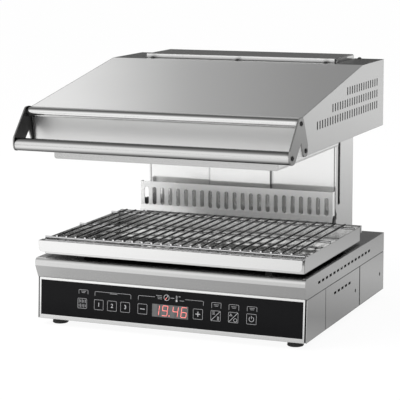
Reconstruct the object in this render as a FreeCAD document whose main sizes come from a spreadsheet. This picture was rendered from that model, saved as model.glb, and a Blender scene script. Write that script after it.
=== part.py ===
import FreeCAD, Part
import math
import os
import re
import Sketcher

# Lift-hood salamander grill in millimetres: X to the right seen from the front, Y to the back, Z up.
# The origin lies on the counter, under the middle of the whole outline.

SIZES = {
    # base
    "base_width": 600.0,
    "base_depth": 538.0,
    "base_height": 130.0,
    "sheet": 1.5,
    "seam": 0.4,
    "cover_seam": 1.2,
    "seam_relief": 0.8,
    "front_flange": 12.0,
    "cap_skirt": 42.0,
    "nose_height": 16.0,
    "nose_overhang": 12.0,
    "nose_radius": 9.0,
    "cap_vent_length": 15.0,
    "cap_vent_height": 5.0,
    "cap_vent_spacing": 24.2,
    "cap_vent_count": 15,
    "cap_vent_drop": 21.5,
    "cap_vent_rear": 113.0,
    # feet
    "foot_height": 15.0,
    "foot_radius": 17.0,
    "foot_side_inset": 35.0,
    "foot_front_inset": 43.0,
    "foot_rear_inset": 40.0,
    "foot_recess_radius": 6.0,
    "foot_recess_depth": 6.0,
    "foot_screw_radius": 2.5,
    "screw_play": 0.1,
    # control panel
    "panel_lean": 3.9,
    "fascia_depth": 6.0,
    "fascia_gap": 2.6,
    "glass_depth": 4.0,
    "glass_side_border": 8.0,
    "glass_low_border": 9.0,
    "glass_high_border": 6.0,
    "window_border": 10.0,
    "board_thickness": 1.6,
    "display_width": 82.0,
    "display_height": 30.0,
    "display_depth": 9.0,
    "display_rise": 38.0,
    # service covers on the right side
    "cover_setback": 126.0,
    "middle_cover_length": 232.0,
    "cover_lip": 10.0,
    "cover_gap": 2.6,
    "cover_tongue": 8.0,
    "cover_vent_lead": 63.0,
    "cover_vent_drop": 23.0,
    "cover_vent_count": 5,
    "cover_screw_drop": 48.0,
    "cover_screw_edge": 30.0,
    "cover_screw_radius": 4.0,
    "cover_screw_length": 14.0,
    # cable entry and boards in the base
    "gland_reach": 16.0,
    "gland_radius": 11.0,
    "gland_thread_radius": 8.0,
    "gland_bore_radius": 5.0,
    "gland_nut_length": 5.0,
    "gland_side_inset": 100.0,
    "gland_rise": 40.0,
    "power_board_width": 190.0,
    "power_board_length": 130.0,
    "power_board_front": 214.0,
    "standoff_height": 12.0,
    "standoff_radius": 4.0,
    "standoff_inset": 8.0,
    "relay_width": 28.0,
    "relay_length": 32.0,
    "relay_height": 26.0,
    "relay_spacing": 44.0,
    "relay_count": 3,
    "terminal_spacing": 14.0,
    "terminal_count": 5,
    "hood_terminal_count": 3,
    "terminal_length": 22.0,
    "terminal_setback": 88.0,
    "terminal_height": 20.0,
    "terminal_well_radius": 3.5,
    "terminal_well_depth": 8.0,
    # drip tray
    "tray_side_inset": 10.0,
    "tray_setback": 22.0,
    "tray_height": 31.4,
    "tray_corner": 5.0,
    "tray_lip_reach": 19.0,
    "tray_lip_height": 23.5,
    "tray_lip_root": 12.0,
    "tray_lip_overhang": 2.5,
    "tray_lip_corner": 9.0,
    "runner_height": 6.0,
    "runner_width": 14.0,
    "runner_inset": 80.0,
    "slide_gap": 0.3,
    "stop_setback": 25.0,
    "stop_depth": 8.0,
    "stop_web": 4.0,
    "stop_head": 15.0,
    "stop_rise": 1.0,
    "stop_web_inset": 40.0,
    # grid of welded rods
    "rod_side_inset": 28.0,
    "rod_count": 25,
    "rod_radius": 2.25,
    "cross_rod_radius": 2.5,
    "cross_rod_count": 3,
    "cross_rod_inset": 0.5,
    "cross_rod_rear_inset": 20.0,
    "weld_sink": 1.4,
    "grid_front_gap": 5.0,
    "grid_rear_gap": 9.0,
    # slotted guard behind the grid
    "guard_overlap": 5.0,
    "guard_height": 66.5,
    "guard_rise": 7.3,
    "guard_standoff": 38.0,
    "guard_lip_height": 13.0,
    "guard_lip_reach": 5.0,
    "guard_slot_radius": 5.0,
    "guard_slot_length": 40.0,
    "guard_slot_low": 13.5,
    "guard_slot_end": 14.4,
    "guard_slot_count": 23,
    "guard_flange": 12.0,
    "arm_thickness": 2.5,
    "arm_rise": 20.0,
    "pivot_setback": 12.0,
    "pivot_rise": 8.0,
    "pivot_boss": 7.0,
    "pin_radius": 3.0,
    "pin_play": 0.05,
    "hinge_gap": 0.5,
    "bracket_thickness": 4.0,
    "bracket_foot": 16.0,
    "switch_width": 10.0,
    "switch_height": 22.0,
    "switch_depth": 16.0,
    "switch_gap": 1.0,
    # column
    "column_side_inset": 75.0,
    "column_depth": 120.0,
    "column_gap": 3.0,
    "slot_setback": 12.5,
    "slot_width": 16.5,
    "slot_rise": 76.0,
    "groove_inset": 4.0,
    "groove_width": 2.4,
    "groove_depth": 1.1,
    "centre_cover_width": 144.0,
    "centre_cover_stand": 6.0,
    "cap_flange": 7.0,
    "cap_overhang": 13.0,
    "cap_end_inset": 2.0,
    "stop_gap": 0.5,
    # lift mechanism in the column
    "hood_travel": 140.0,
    "beam_thickness": 6.0,
    "beam_height": 104.0,
    "beam_rise": 6.0,
    "beam_flange": 40.0,
    "rod_bracket_height": 12.0,
    "guide_radius": 8.0,
    "guide_inset": 55.0,
    "guide_setback": 65.0,
    "bush_wall": 4.0,
    "bush_length": 30.0,
    "bush_play": 0.05,
    "bush_block_wall": 8.0,
    "spring_spread": 200.0,
    "spring_radius": 11.0,
    "spring_wall": 2.0,
    "spring_rod_radius": 5.0,
    "spring_margin": 9.0,
    "spring_overlap": 25.0,
    "spring_tab": 6.0,
    # hood
    "hood_side_inset": 5.0,
    "hood_overhang": 13.0,
    "hood_rear_inset": 2.0,
    "hood_raise": 244.0,
    "hood_height": 147.0,
    "hood_flat_lead": 39.0,
    "hood_front_height": 77.0,
    "hood_front_lean": 13.0,
    "hood_bend": 3.0,
    "hood_vent_width": 6.0,
    "hood_vent_height": 16.0,
    "hood_vent_spacing": 16.15,
    "hood_vent_rear": 50.0,
    "hood_vent_rise": 43.5,
    "hood_vent_step": 24.8,
    "hood_vent_rows": 3,
    "hood_vent_count": 26,
    "hood_vent_fewer": 6,
    "hood_opening_gap": 9.0,
    "buffer_radius": 4.5,
    "buffer_height": 3.5,
    "buffer_inset": 20.0,
    "buffer_lead": 7.0,
    "buffer_side_gap": 13.5,
    "buffer_rear_inset": 9.0,
    # heater
    "pan_side_inset": 49.0,
    "pan_setback": 7.0,
    "pan_drop": 29.5,
    "pan_corner": 5.0,
    "pan_ledge": 22.0,
    "pan_gap": 12.0,
    "ceramic_thickness": 4.0,
    "dish_count": 3,
    "dish_height": 24.0,
    "dish_gap": 4.0,
    "dish_wall": 10.0,
    "dish_recess": 14.0,
    "dish_inset": 12.0,
    "ribbon_thickness": 1.5,
    "ribbon_width": 5.0,
    "ribbon_pairs": 3,
    "ribbon_margin": 8.0,
    "insulation_thickness": 15.0,
    # handle
    "handle_plate": 3.0,
    "bar_radius": 9.5,
    "bar_forward": 8.6,
    "bar_drop": 9.5,
    "grip_radius": 13.0,
    "grip_forward": 59.5,
    "grip_drop": 70.2,
    "anchor_back": 18.5,
    "anchor_drop": 65.3,
    "notch_rise": 24.0,
    "notch_round": 2.0,
    "plate_round": 11.5,
    "grip_round": 13.5,
    "handle_screw_radius": 4.5,
    "handle_screw_head": 2.0,
}

PLACES = {
    # base
    "base_half": "base_width / 2",
    "grip_reach": "grip_forward + max(grip_radius; grip_round)",
    "overall_depth": "gland_reach + base_depth + hood_overhang + grip_reach",
    "base_rear": "overall_depth / 2 - gland_reach",
    "base_front": "base_rear - base_depth",
    "floor_top": "foot_height + sheet",
    "cap_top": "foot_height + base_height",
    "seam_height": "cap_top - cap_skirt",
    "lean_slope": "tan(panel_lean)",
    "fascia_front": "base_front + nose_overhang - (seam_height - foot_height) * lean_slope",
    "glass_half": "base_half - glass_side_border",
    "glass_low": "foot_height + glass_low_border",
    "glass_high": "seam_height - glass_high_border",
    "foot_side": "base_half - foot_side_inset",
    "cover_front": "base_front + cover_setback",
    "cover_split": "cover_front + middle_cover_length",
    "cover_inner": "base_half - sheet",
    "fascia_half": "cover_inner - fascia_gap",
    "gland_side": "base_half - gland_side_inset",
    # column
    "column_half": "base_half - column_side_inset",
    "column_front": "base_rear - column_depth",
    "slot_front": "column_front + slot_setback",
    "centre_front": "column_front - centre_cover_stand",
    # tray and grid
    "tray_half": "base_half - tray_side_inset",
    "tray_front": "base_front + tray_setback",
    "stop_front": "column_front - stop_setback",
    "tray_rear": "stop_front - slide_gap",
    "tray_low": "cap_top + runner_height + slide_gap",
    "tray_high": "tray_low + tray_height",
    "tray_lip_front": "tray_front - tray_lip_reach",
    "tray_lip_low": "tray_high - tray_lip_height",
    "tray_lip_half": "tray_half + tray_lip_overhang",
    "cross_rod_height": "tray_high + slide_gap + cross_rod_radius",
    "rod_height": "cross_rod_height + cross_rod_radius + rod_radius - weld_sink",
    "guard_face": "column_front - guard_standoff",
    "grid_front": "tray_front + grid_front_gap",
    "grid_rear": "guard_face - grid_rear_gap",
    "cross_rod_half": "tray_half - cross_rod_inset",
    "rod_half": "cross_rod_half - rod_side_inset",
    "rod_spacing": "2 * rod_half / (rod_count - 1)",
    "cross_rod_run": "grid_rear - cross_rod_rear_inset - grid_front - 2 * cross_rod_radius",
    "cross_rod_spacing": "cross_rod_run / (cross_rod_count - 1)",
    # guard
    "guard_half": "column_half + guard_overlap",
    "guard_slot_half": "guard_half - guard_slot_end",
    "guard_slot_spacing": "2 * guard_slot_half / (guard_slot_count - 1)",
    "guard_low": "tray_high + guard_rise",
    "guard_high": "guard_low + guard_height",
    "guard_bend": "guard_low + guard_lip_height",
    "guard_back": "guard_face + sheet",
    "pivot_rear": "column_front - pivot_setback",
    "pivot_height": "guard_low + pivot_rise",
    "arm_outer": "guard_half - sheet",
    "arm_inner": "arm_outer - arm_thickness",
    "bracket_outer": "arm_inner - hinge_gap",
    "bracket_inner": "bracket_outer - bracket_thickness",
    "bracket_front": "stop_front + stop_depth + slide_gap",
    "bracket_top": "pivot_height + pivot_boss + switch_height / 2",
    # hood
    "hood_half": "base_half - hood_side_inset",
    "hood_rear": "base_rear - hood_rear_inset",
    "hood_front": "base_front - hood_overhang",
    "hood_low": "cap_top + hood_raise",
    "hood_high": "hood_low + hood_height",
    "hood_brow": "hood_low + hood_front_height",
    "hood_foot": "hood_front + hood_front_lean",
    "hood_flat_front": "column_front - hood_flat_lead",
    "hood_opening_half": "max(guard_half; column_half) + hood_opening_gap",
    "hood_opening_front": "guard_face - hood_opening_gap",
    "top_opening_half": "column_half + column_gap",
    "top_opening_front": "centre_front - column_gap",
    "column_top": "hood_high + stop_gap + cap_flange",
    "column_cap_front": "column_front - cap_overhang",
    # lift mechanism
    "beam_low": "hood_low + beam_rise",
    "beam_high": "beam_low + beam_height",
    "beam_front": "slot_front + (slot_width - beam_thickness) / 2",
    "beam_back": "beam_front + beam_thickness",
    "beam_half": "hood_half - sheet",
    "slot_low": "cap_top + slot_rise",
    "slot_high": "beam_high + column_gap",
    "guide_rear": "column_front + guide_setback",
    "guide_half": "column_half - guide_inset",
    "guide_low": "cap_top + rod_bracket_height",
    "guide_high": "column_top - rod_bracket_height",
    "bush_radius": "guide_radius + bush_play + bush_wall",
    "block_half": "bush_radius + bush_block_wall",
    "spring_half": "spring_spread / 2",
    "spring_tab_low": "beam_high - spring_tab",
    "spring_top": "spring_tab_low - hood_travel - spring_margin",
    # heater
    "pan_half": "hood_half - pan_side_inset",
    "pan_front": "hood_front + pan_setback",
    "pan_rear": "guard_face - pan_gap",
    "pan_low": "hood_low - pan_drop",
    "ceramic_low": "pan_low + sheet",
    "ceramic_half": "pan_half - pan_corner - sheet",
    "dish_low": "ceramic_low + ceramic_thickness",
    "dish_high": "dish_low + dish_height",
    "dish_half": "pan_half - pan_corner - sheet - dish_gap",
    "dish_width": "(2 * dish_half + dish_gap) / dish_count - dish_gap",
    "dish_front": "pan_front + dish_inset",
    "dish_rear": "pan_rear - dish_inset",
    # handle
    "bar_front": "hood_front - bar_forward",
    "bar_height": "hood_brow - bar_drop",
    "grip_front": "hood_front - grip_forward",
    "grip_height": "hood_brow - grip_drop",
    "anchor_rear": "hood_front + anchor_back",
    "anchor_height": "hood_brow - anchor_drop",
    "handle_outer": "hood_half + handle_plate",
}

doc = FreeCAD.newDocument("salamander_grill")
sub_parts = []


def with_sheets(formula, own_names=()):
    """Formula with each size's sheet written in front of its name."""
    def full_name(match):
        word = match.group()
        if word in own_names:
            return word
        if word in SIZES:
            return "Sizes." + word
        if word in PLACES:
            return "Places." + word
        return word
    return re.sub(r"[a-z][a-z0-9_]*", full_name, formula)


def fill_sheet(name, cells):
    """Spreadsheet with a name and an aliased value in each row."""
    sheet = doc.addObject("Spreadsheet::Sheet", name)
    for row, (alias, content) in enumerate(cells.items(), start=1):
        sheet.set(f"A{row}", alias)
        sheet.set(f"B{row}", content)
        sheet.setAlias(f"B{row}", alias)
    doc.recompute()
    return sheet


sizes = fill_sheet("Sizes", {alias: str(number) for alias, number in SIZES.items()})
places = fill_sheet("Places", {alias: "=" + with_sheets(rule, PLACES) for alias, rule in PLACES.items()})


def value(alias):
    """Present number of a size or a place."""
    return float(getattr(sizes if alias in SIZES else places, alias))


def bind(target, path, formula):
    """Tie a property to the sheets."""
    target.setExpression(path, with_sheets(str(formula)))


def keep(part, label):
    """Give a sub-part its name and put it on the list of pieces."""
    part.Label = label
    sub_parts.append(part)
    return part


def new_body(label):
    """Body that will be one piece."""
    return keep(doc.addObject("PartDesign::Body", label), label)


def place(part, across="0", back="0", up="0"):
    """Move a piece to a place given by formulas."""
    bind(part, "Placement.Base.x", across)
    bind(part, "Placement.Base.y", back)
    bind(part, "Placement.Base.z", up)
    return part


def group(label, members):
    """One node of several separate solids."""
    for member in members:
        if member in sub_parts:
            sub_parts.remove(member)
    compound = doc.addObject("Part::Compound", label)
    compound.Links = members
    return keep(compound, label)


def origin_feature(body, role):
    """Plane or axis of a body's own origin."""
    return [feature for feature in body.Origin.OriginFeatures if feature.Role == role][0]


def sketch_at(body, plane, station):
    """Sketch on one of the body's planes, moved along that plane's normal."""
    sketch = body.newObject("Sketcher::SketchObject", body.Name + "_sketch")
    sketch.AttachmentSupport = (origin_feature(body, plane + "_Plane"), [""])
    sketch.MapMode = "FlatFace"
    bind(sketch, "AttachmentOffset.Base.z", station)
    return sketch


def fix_point(sketch, geometry, position, across, up):
    """Hold a point of the sketch at a place given by formulas."""
    for kind, formula in (("DistanceX", across), ("DistanceY", up)):
        number = sketch.addConstraint(Sketcher.Constraint(kind, -1, 1, geometry, position, 1.0))
        bind(sketch, f"Constraints[{number}]", formula)


def fix_radius(sketch, geometry, radius):
    """Hold a circle's or an arc's radius."""
    number = sketch.addConstraint(Sketcher.Constraint("Radius", geometry, 1.0))
    bind(sketch, f"Constraints[{number}]", radius)


def polygon(*points):
    """Drawing of a closed outline through points that are pairs of formulas."""
    def draw(sketch):
        count = len(points)
        turns = [2 * math.pi * index / count for index in range(count)]
        start = [FreeCAD.Vector(math.cos(turn), math.sin(turn), 0) for turn in turns]
        for index in range(count):
            sketch.addGeometry(Part.LineSegment(start[index], start[(index + 1) % count]), False)
        for index in range(count):
            following = (index + 1) % count
            sketch.addConstraint(Sketcher.Constraint("Coincident", index, 2, following, 1))
        for index, (across, up) in enumerate(points):
            fix_point(sketch, index, 1, across, up)
    return draw


def rectangle(left, right, low, high):
    """Drawing of an upright rectangle."""
    return polygon((left, low), (right, low), (right, high), (left, high))


def disc(across, up, radius):
    """Drawing of a circle."""
    def draw(sketch):
        sketch.addGeometry(Part.Circle(FreeCAD.Vector(0, 0, 0), FreeCAD.Vector(0, 0, 1), 1.0), False)
        fix_radius(sketch, 0, radius)
        fix_point(sketch, 0, 3, across, up)
    return draw


def oblong(across, low, high, radius):
    """Drawing of an upright slot with round ends, between its two end centres."""
    def draw(sketch):
        normal = FreeCAD.Vector(0, 0, 1)
        top = Part.Circle(FreeCAD.Vector(0, 3, 0), normal, 1.0)
        bottom = Part.Circle(FreeCAD.Vector(0, -3, 0), normal, 1.0)
        sketch.addGeometry(Part.ArcOfCircle(top, 0, math.pi), False)
        sketch.addGeometry(Part.LineSegment(FreeCAD.Vector(-1, 3, 0), FreeCAD.Vector(-1, -3, 0)), False)
        sketch.addGeometry(Part.ArcOfCircle(bottom, math.pi, 2 * math.pi), False)
        sketch.addGeometry(Part.LineSegment(FreeCAD.Vector(1, -3, 0), FreeCAD.Vector(1, 3, 0)), False)
        for index in range(4):
            following = (index + 1) % 4
            sketch.addConstraint(Sketcher.Constraint("Tangent", index, 2, following, 1))
        sketch.addConstraint(Sketcher.Constraint("Equal", 0, 2))
        fix_radius(sketch, 0, radius)
        fix_point(sketch, 0, 3, across, high)
        fix_point(sketch, 2, 3, across, low)
    return draw


def pad(body, plane, start, end, draw):
    """Add material from start to end along the axis that the plane stands across."""
    station = f"-({end})" if plane == "XZ" else start
    sketch = sketch_at(body, plane, station)
    draw(sketch)
    feature = body.newObject("PartDesign::Pad", body.Name + "_pad")
    feature.Profile = sketch
    bind(feature, "Length", f"({end}) - ({start})")
    return feature


def pocket(body, plane, start, end, draw):
    """Take material away from start to end along the axis that the plane stands across."""
    station = f"-({start})" if plane == "XZ" else end
    sketch = sketch_at(body, plane, station)
    draw(sketch)
    feature = body.newObject("PartDesign::Pocket", body.Name + "_pocket")
    feature.Profile = sketch
    bind(feature, "Length", f"({end}) - ({start})")
    return feature


def repeat(body, feature, axis, spacing, count, backwards=False):
    """Row of copies of a feature along an axis."""
    pattern = body.newObject("PartDesign::LinearPattern", body.Name + "_row")
    pattern.Originals = [feature]
    pattern.Direction = (origin_feature(body, axis + "_Axis"), [""])
    pattern.Reversed = backwards
    pattern.Mode = "Spacing"
    bind(pattern, "Offset", spacing)
    bind(pattern, "Occurrences", count)
    body.Tip = pattern
    return pattern


def round_edges(body, radius, chosen):
    """Round the edges that a test picks."""
    doc.recompute()
    edges = [f"Edge{number}" for number, edge in enumerate(body.Shape.Edges, start=1) if chosen(edge)]
    base = body.Tip
    feature = body.newObject("PartDesign::Fillet", body.Name + "_round")
    feature.Base = (base, edges)
    bind(feature, "Radius", radius)
    return feature


def hollow(body, wall, opened):
    """Shell of even wall, open at the faces that a test picks."""
    doc.recompute()
    faces = [f"Face{number}" for number, face in enumerate(body.Shape.Faces, start=1) if opened(face)]
    base = body.Tip
    feature = body.newObject("PartDesign::Thickness", body.Name + "_shell")
    feature.Base = (base, faces)
    feature.Reversed = True
    feature.Join = 1
    bind(feature, "Value", wall)
    return feature


def turned(label, plane, axis, draw):
    """Body turned round an axis of its sketch."""
    body = new_body(label)
    sketch = sketch_at(body, plane, "0")
    draw(sketch)
    feature = body.newObject("PartDesign::Revolution", label + "_turn")
    feature.Profile = sketch
    feature.ReferenceAxis = (sketch, [axis])
    feature.Angle = 360
    return body


def bar(label, plane, start, end, across, up, radius):
    """Round bar along the axis that the plane stands across."""
    body = new_body(label)
    pad(body, plane, start, end, disc(across, up, radius))
    return body


def block(label, left, right, front, rear, low, high):
    """Plain plate or block."""
    body = new_body(label)
    pad(body, "XY", low, high, rectangle(left, right, front, rear))
    return body


def facing(axis, sign):
    """Test for flat faces that look along an axis."""
    def test(face):
        return getattr(face.normalAt(0, 0), axis) * sign > 0.99
    return test


def near(number, alias):
    """Whether a coordinate lies at a named place."""
    return abs(number - value(alias)) < 0.01


def runs_along(edge, axis):
    """Whether a straight edge runs along an axis."""
    return abs(getattr(edge.tangentAt(edge.FirstParameter), axis)) > 0.99


def make_base_pan():
    """Floor with a front flange and two walls stepped under the cap; the right one ends as a post."""
    body = new_body("base_pan")
    pad(body, "YZ", "-base_half", "base_half", polygon(
        leaning("foot_height", "sheet"), ("base_rear", "foot_height"), ("base_rear", "seam_height"),
        leaning("seam_height", "sheet")))
    pocket(body, "YZ", "-cover_inner", "cover_inner",
           leaning_plate("0", "fascia_depth", "foot_height - sheet", "seam_height + sheet"))
    pocket(body, "XZ", "base_front", "base_rear + sheet",
           rectangle("-cover_inner", "cover_inner", "floor_top", "seam_height + sheet"))
    pad(body, "YZ", "-cover_inner", "cover_inner",
        leaning_plate("fascia_depth", "fascia_depth + sheet", "foot_height", "floor_top + front_flange"))
    pocket(body, "YZ", "cover_inner - sheet", "base_half + sheet",
           rectangle("cover_front", "base_rear + sheet", "floor_top", "seam_height + sheet"))
    for start, end in (("-base_half - sheet", "-base_half + seam_relief"),
                       ("base_half - seam_relief", "base_half + sheet")):
        pocket(body, "YZ", start, end, rectangle(
            "base_front", "base_rear + sheet", "seam_height - cover_seam", "seam_height + sheet"))
    for side in ("-foot_side", "foot_side"):
        for back in ("base_front + foot_front_inset", "base_rear - foot_rear_inset"):
            pocket(body, "XY", "foot_height - sheet", "floor_top + sheet",
                   disc(side, back, "foot_screw_radius + screw_play"))


def make_base_cap():
    """Bent top of the base: rounded nose, leaning front, skirts with a row of vents."""
    body = new_body("base_cap")
    pad(body, "YZ", "-base_half", "base_half", polygon(
        ("base_rear", "seam_height"), ("base_rear", "cap_top"), ("base_front", "cap_top"),
        ("base_front", "cap_top - nose_height"), ("base_front + nose_overhang", "seam_height")))
    round_edges(body, "nose_radius", lambda edge: runs_along(edge, "x")
                and near(edge.CenterOfMass.y, "base_front") and near(edge.CenterOfMass.z, "cap_top"))
    hollow(body, "sheet", facing("z", -1))
    middle = "cap_top - cap_vent_drop"
    vent = pocket(body, "YZ", "-base_half - sheet", "base_half + sheet", rectangle(
        "base_rear - cap_vent_rear - cap_vent_length / 2",
        "base_rear - cap_vent_rear + cap_vent_length / 2",
        f"{middle} - cap_vent_height / 2", f"{middle} + cap_vent_height / 2"))
    repeat(body, vent, "Y", "cap_vent_spacing", "cap_vent_count", backwards=True)


def make_base_rear_panel():
    """Rear wall of the base with the hole for the cable gland."""
    body = new_body("base_rear_panel")
    pad(body, "XZ", "base_rear - sheet", "base_rear",
        rectangle("-cover_inner", "cover_inner", "floor_top", "seam_height"))
    pocket(body, "XZ", "base_rear - 2 * sheet", "base_rear + sheet",
           disc("gland_side", "foot_height + gland_rise", "gland_thread_radius + screw_play"))


def make_service_cover(label, front, rear, screw_at, vented, gaps=()):
    """Side cover with folded lips, a countersunk screw and tongues behind the gaps beside it."""
    body = new_body(label)
    pad(body, "YZ", "base_half - cover_lip", "base_half",
        rectangle(front, rear, "floor_top", "seam_height - cover_seam"))
    pocket(body, "YZ", "base_half - cover_lip - sheet", "cover_inner",
           rectangle(f"{front} - sheet", f"{rear} + sheet", "floor_top + sheet",
                     "seam_height - cover_seam - sheet"))
    pocket(body, "YZ", "base_half - cover_lip - sheet", "cover_inner",
           rectangle("base_rear - 2 * sheet", "base_rear + sheet", "foot_height", "cap_top"))
    for gap in gaps:
        pad(body, "YZ", "cover_inner - sheet", "cover_inner", rectangle(
            f"{gap} - cover_gap - cover_tongue", f"{gap} + cover_gap + cover_tongue",
            "floor_top + 2 * sheet", "seam_height - cover_seam - 2 * sheet"))
    pocket(body, "YZ", "cover_inner - sheet", "base_half + sheet",
           disc(screw_at, "seam_height - cover_screw_drop", "cover_screw_radius + screw_play"))
    if vented:
        middle = "seam_height - cover_vent_drop"
        first = "cover_front + cover_vent_lead"
        vent = pocket(body, "YZ", "cover_inner - sheet", "base_half + sheet", rectangle(
            f"{first} - cap_vent_length / 2", f"{first} + cap_vent_length / 2",
            f"{middle} - cap_vent_height / 2", f"{middle} + cap_vent_height / 2"))
        repeat(body, vent, "Y", "cap_vent_spacing", "cover_vent_count")


def make_service_covers():
    """Two covers side by side behind the front post, with their screws."""
    middle_screw = "cover_split - cover_screw_edge"
    rear_screw = "base_rear - cover_screw_edge"
    make_service_cover("service_cover_middle", "cover_front + cover_gap", "cover_split - cover_gap",
                       middle_screw, True, ("cover_front", "cover_split"))
    make_service_cover("service_cover_rear", "cover_split + cover_gap", "base_rear - seam",
                       rear_screw, False)
    height = "seam_height - cover_screw_drop"
    screws = []
    for number, back in enumerate((middle_screw, rear_screw), start=1):
        screw = turned(f"cover_screw_{number}", "XZ", "H_Axis", polygon(
            ("base_half - cover_screw_length", "0"), ("base_half", "0"),
            ("base_half", "cover_screw_radius"),
            ("cover_inner", "cover_screw_radius"), ("cover_inner", "cover_screw_radius / 2"),
            ("base_half - cover_screw_length", "cover_screw_radius / 2")))
        screws.append(place(screw, "0", back, height))
    group("cover_screws", screws)


def make_feet():
    """Four rubber feet with a screw up through each into the floor."""
    feet = []
    screws = []
    for side in ("-foot_side", "foot_side"):
        for back in ("base_front + foot_front_inset", "base_rear - foot_rear_inset"):
            number = len(feet) + 1
            foot = turned(f"foot_{number}", "XZ", "V_Axis", polygon(
                ("foot_screw_radius + screw_play", "foot_recess_depth"),
                ("foot_recess_radius", "foot_recess_depth"), ("foot_recess_radius", "0"),
                ("foot_radius - sheet", "0"), ("foot_radius", "sheet"),
                ("foot_radius - 2 * sheet", "foot_height"),
                ("foot_screw_radius + screw_play", "foot_height")))
            feet.append(place(foot, side, back))
            screw = turned(f"foot_screw_{number}", "XZ", "V_Axis", polygon(
                ("0", "foot_recess_depth / 2"), ("foot_recess_radius - sheet", "foot_recess_depth / 2"),
                ("foot_recess_radius - sheet", "foot_recess_depth"),
                ("foot_screw_radius", "foot_recess_depth"),
                ("foot_screw_radius", "floor_top + foot_recess_depth"),
                ("0", "floor_top + foot_recess_depth")))
            screws.append(place(screw, side, back))
    group("feet", feet)
    group("foot_screws", screws)


def leaning(height, depth):
    """Point on a plane that lies a depth behind the fascia's leaning front."""
    return (f"fascia_front + ({height} - foot_height) * lean_slope + {depth}", height)


def leaning_plate(front, back, low, high):
    """Drawing of a plate's section along the leaning front."""
    return polygon(leaning(low, front), leaning(low, back), leaning(high, back), leaning(high, front))


def make_control_panel():
    """Leaning fascia with the glass let into it, and the touch board and display behind the glass."""
    fascia = new_body("control_fascia")
    high = "seam_height - seam"
    pad(fascia, "YZ", "-fascia_half", "fascia_half", leaning_plate("0", "fascia_depth", "foot_height", high))
    pocket(fascia, "YZ", "-glass_half - seam", "glass_half + seam",
           leaning_plate("-sheet", "glass_depth", "glass_low - seam", "glass_high + seam"))
    window_half = "glass_half - window_border"
    window_low = "glass_low + window_border"
    window_high = "glass_high - window_border"
    pocket(fascia, "YZ", f"-({window_half})", window_half,
           leaning_plate("0", "fascia_depth + sheet", window_low, window_high))
    glass = new_body("control_glass")
    pad(glass, "YZ", "-glass_half", "glass_half",
        leaning_plate("0", "glass_depth", "glass_low", "glass_high"))
    board = new_body("touch_board")
    board_back = "glass_depth + board_thickness"
    pad(board, "YZ", f"-({window_half}) + seam", f"{window_half} - seam", leaning_plate(
        "glass_depth", board_back, f"{window_low} + seam", f"{window_high} - seam"))
    display_low = "foot_height + display_rise - display_height / 2"
    display_high = "foot_height + display_rise + display_height / 2"
    pocket(board, "YZ", "-display_width / 2 - seam", "display_width / 2 + seam", leaning_plate(
        "0", f"{board_back} + sheet", f"{display_low} - seam", f"{display_high} + seam"))
    display = new_body("display_module")
    pad(display, "YZ", "-display_width / 2", "display_width / 2", leaning_plate(
        "glass_depth", "glass_depth + display_depth", display_low, display_high))


def make_terminal_block(label, left, front, low, count):
    """Row of screw terminals in one moulded block."""
    body = new_body(label)
    pad(body, "XY", low, f"{low} + terminal_height",
        rectangle(left, f"{left} + terminal_spacing * {count}", front, f"{front} + terminal_length"))
    well = pocket(body, "XY", f"{low} + terminal_height - terminal_well_depth",
                  f"{low} + terminal_height + sheet",
                  disc(f"{left} + terminal_spacing / 2", f"{front} + terminal_length / 2",
                       "terminal_well_radius"))
    repeat(body, well, "X", "terminal_spacing", count)


def make_base_electrics():
    """Cable gland with its nut, terminal block, and the power board with relays on standoffs."""
    wall = "base_rear - sheet"
    gland = turned("cable_gland", "YZ", "H_Axis", polygon(
        (f"{wall} - gland_nut_length - sheet", "gland_bore_radius"),
        ("base_rear + gland_reach", "gland_bore_radius"),
        ("base_rear + gland_reach", "gland_thread_radius"),
        ("base_rear + gland_reach / 2", "gland_radius - sheet"),
        ("base_rear + gland_nut_length", "gland_radius - sheet"),
        ("base_rear + gland_nut_length", "gland_radius"), ("base_rear", "gland_radius"),
        ("base_rear", "gland_thread_radius"),
        (f"{wall} - gland_nut_length - sheet", "gland_thread_radius")))
    place(gland, "gland_side", "0", "foot_height + gland_rise")
    nut = turned("gland_nut", "YZ", "H_Axis", rectangle(
        f"{wall} - gland_nut_length", wall, "gland_thread_radius + screw_play", "gland_radius"))
    place(nut, "gland_side", "0", "foot_height + gland_rise")
    make_terminal_block("mains_terminal_block", "gland_side - terminal_spacing * terminal_count / 2",
                        "base_rear - terminal_setback", "floor_top", "terminal_count")
    left = "-power_board_width / 2"
    right = "power_board_width / 2"
    front = "base_front + power_board_front"
    rear = f"{front} + power_board_length"
    board_low = "floor_top + standoff_height"
    board_high = f"{board_low} + board_thickness"
    block("power_board", left, right, front, rear, board_low, board_high)
    standoffs = []
    for across in (f"{left} + standoff_inset", f"{right} - standoff_inset"):
        for back in (f"{front} + standoff_inset", f"{rear} - standoff_inset"):
            name = f"standoff_{len(standoffs) + 1}"
            standoffs.append(bar(name, "XY", "floor_top", board_low, across, back, "standoff_radius"))
    group("board_standoffs", standoffs)
    relays = []
    for number in range(int(value("relay_count"))):
        across = f"({number} - (relay_count - 1) / 2) * relay_spacing"
        relays.append(block(f"relay_{number + 1}", f"{across} - relay_width / 2",
                            f"{across} + relay_width / 2",
                            f"{front} + relay_length", f"{front} + 2 * relay_length",
                            board_high, f"{board_high} + relay_height"))
    group("power_relays", relays)


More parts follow.
